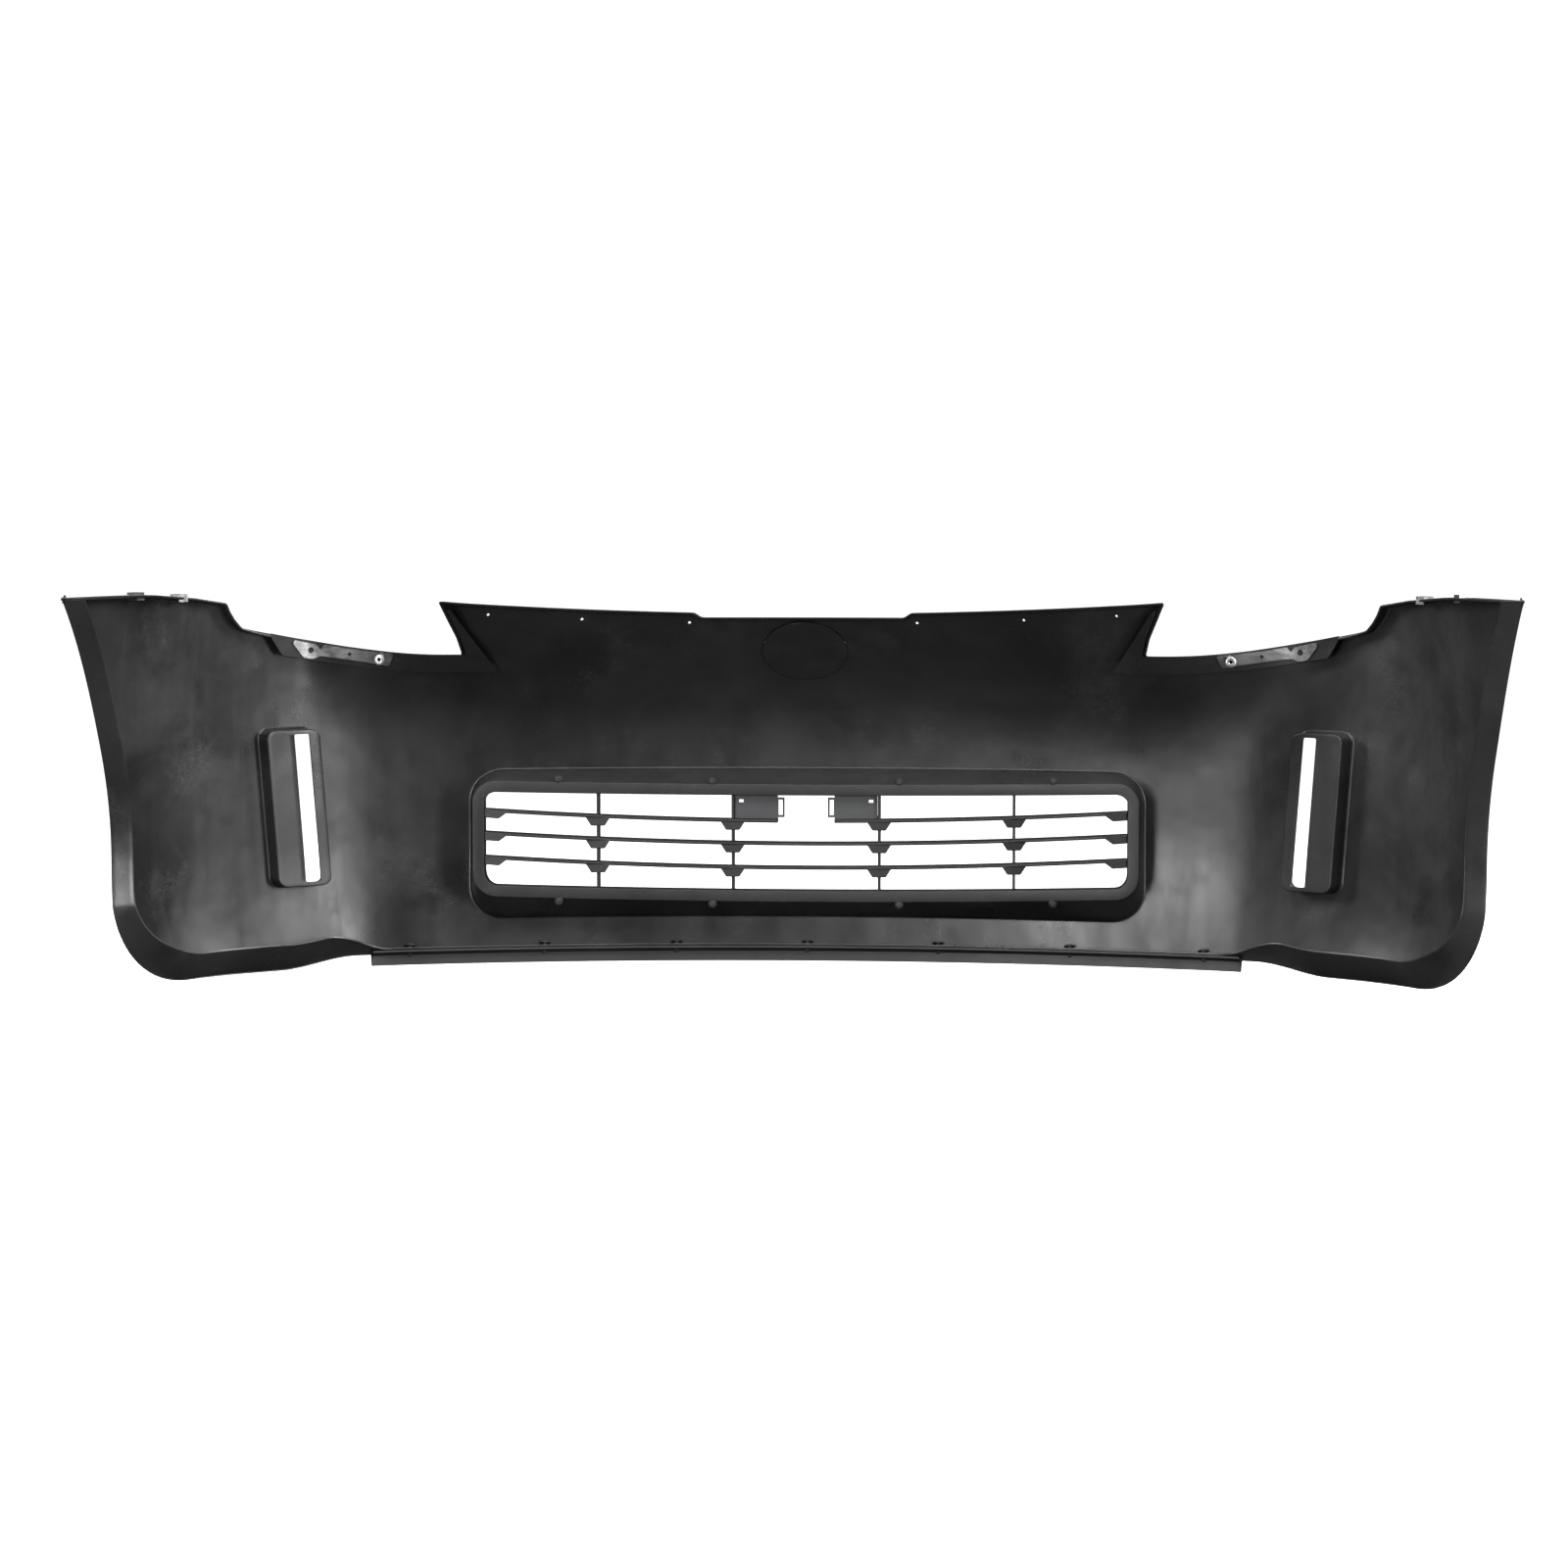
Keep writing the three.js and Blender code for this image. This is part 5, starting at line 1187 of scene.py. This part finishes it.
def lip_clip(node):
    """A push clip: a domed head above the edge, a shank and a tapered barb under the lip."""
    low, high = (np.array(v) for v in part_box(node))
    centre = (low + high) / 2
    h = (high[2] - low[2]) / 2
    profile = [(0.0004, h), (0.0030, h - 0.0001), (0.0060, h - 0.0007), (0.0077, h - 0.0018),
               (0.0078, h - 0.0026), (0.0034, h - 0.0027), (0.0034, -h + 0.0045), (0.0036, -h + 0.004),
               (0.0016, -h + 0.0004), (0.0004, -h)]
    return bar_body(turned(profile, centre, (0.0, CLIP_TILT, 1.0), 36))


add_piece("lower_lip_strip", *lower_lip(), lip_black, "lip", ["lower_lip"])
for index, (x, z) in enumerate(screw_places(), 1):
    screw = f"grille_screw_{index}"
    add_piece(f"pan_screw_{index}", *screw_head(x, z), clip_black, "clip", [screw])
for index in range(1, 8):
    clip = f"lip_clip_{index}"
    add_piece(f"push_clip_{index}", *lip_clip(clip), clip_black, "clip", [clip])

kept = {"plate_bracket_": bracket_grey, "fender_nut_": plated_steel}
for node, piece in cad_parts.items():
    for prefix, material in kept.items():
        if node.startswith(prefix):
            for material_slot in piece.material_slots:
                material_slot.material = material

# ------------------------------------------------------------------ floor, light and camera


def studio_sweep():
    """Floor and backdrop in one: level, then a quarter circle up to an upright wall behind."""
    turn = np.linspace(0, math.pi / 2, 40)
    y = np.concatenate([[-9.0, -3.0, 0.0, 4.0], 5.0 + 2.5 * np.sin(turn), [7.5]])
    z = np.concatenate([[0.0] * 4, 2.5 * (1 - np.cos(turn)), [9.0]])
    x = np.linspace(-14, 14, 3)
    points = np.stack([np.repeat(x, len(y)), np.tile(y, 3), np.tile(z, 3)], axis=1)
    return points, grid_faces(3, len(y), False, False)


def build_floor():
    """A plain pale floor that runs up into the backdrop."""
    points, faces = studio_sweep()
    mesh = bpy.data.meshes.new("studio_floor")
    mesh.from_pydata(points.tolist(), [], faces.tolist())
    mesh.polygons.foreach_set("use_smooth", np.ones(len(mesh.polygons), bool))
    material, tree, shader = new_material("pale floor")
    shader.inputs["Base Color"].default_value = (0.86, 0.86, 0.86, 1.0)
    shader.inputs["Roughness"].default_value = 0.75
    shader.inputs["Specular IOR Level"].default_value = 0.15
    shader.inputs["Emission Color"].default_value = (1.0, 1.0, 1.0, 1.0)
    shader.inputs["Emission Strength"].default_value = 0.95
    dim = add_node(tree, "ShaderNodeBsdfDiffuse", Color=(0.10, 0.10, 0.10, 1.0))
    seen = add_node(tree, "ShaderNodeLightPath").outputs["Is Camera Ray"]
    both = add_node(tree, "ShaderNodeMixShader", i0=seen, i1=dim.outputs[0], i2=shader.outputs[0])
    tree.links.new(both.outputs[0], tree.nodes["Material Output"].inputs["Surface"])
    mesh.materials.append(material)
    floor = bpy.data.objects.new("studio_floor", mesh)
    bpy.context.scene.collection.objects.link(floor)


def add_light(name, place, target, size, power):
    """A rectangular soft light at a place, turned to a target."""
    lamp = bpy.data.lights.new(name, "AREA")
    lamp.shape = "RECTANGLE"
    lamp.size, lamp.size_y = size
    lamp.energy = power
    light = bpy.data.objects.new(name, lamp)
    light.location = place
    light.rotation_euler = (Vector(target) - Vector(place)).to_track_quat("-Z", "Y").to_euler()
    bpy.context.scene.collection.objects.link(light)


build_floor()
world = bpy.data.worlds.new("studio")
world.use_nodes = True
world.node_tree.nodes["Background"].inputs[0].default_value = (1.0, 1.0, 1.0, 1.0)
path = add_node(world.node_tree, "ShaderNodeLightPath").outputs["Is Camera Ray"]
glow = math_node(world.node_tree, "MULTIPLY_ADD", path, 0.93, 0.07)
world.node_tree.links.new(glow, world.node_tree.nodes["Background"].inputs[1])
bpy.context.scene.world = world
bpy.context.scene.view_settings.view_transform = "Standard"

# each light: its place, its target, its width and height, its power in watts
LIGHTS = {
    "overhead": ((0.0, -1.6, 2.4), (0.0, 0.1, 0.2), (3.2, 1.2), 95.0),
    "right_high": ((2.0, 0.0, 1.5), (-0.75, -0.05, 0.25), (0.9, 1.2), 120.0),
    "left_high": ((-2.0, 0.0, 1.4), (0.75, -0.05, 0.25), (0.8, 1.0), 70.0),
    "left_strip": ((-1.25, -3.2, 0.55), (0.35, 0.25, 0.3), (0.6, 1.4), 60.0),
    "right_strip": ((2.4, -2.2, 0.7), (-0.4, 0.2, 0.3), (0.5, 1.4), 60.0),
}
for name, settings in LIGHTS.items():
    add_light(name, *settings)

CAMERA_LENS = 94.5  # millimetres, as is the sensor
CAMERA_SENSOR = 36.0
CAMERA_PLACE = (0.280, -5.267, 0.677)
CAMERA_LINE = Vector((-0.0562, 0.9953, -0.0790))

camera = bpy.data.objects.new("camera", bpy.data.cameras.new("camera"))
camera.data.lens = CAMERA_LENS
camera.data.sensor_width = CAMERA_SENSOR
camera.location = CAMERA_PLACE
camera.rotation_euler = CAMERA_LINE.to_track_quat("-Z", "Y").to_euler()
bpy.context.scene.collection.objects.link(camera)
bpy.context.scene.camera = camera

bpy.context.view_layer.update()
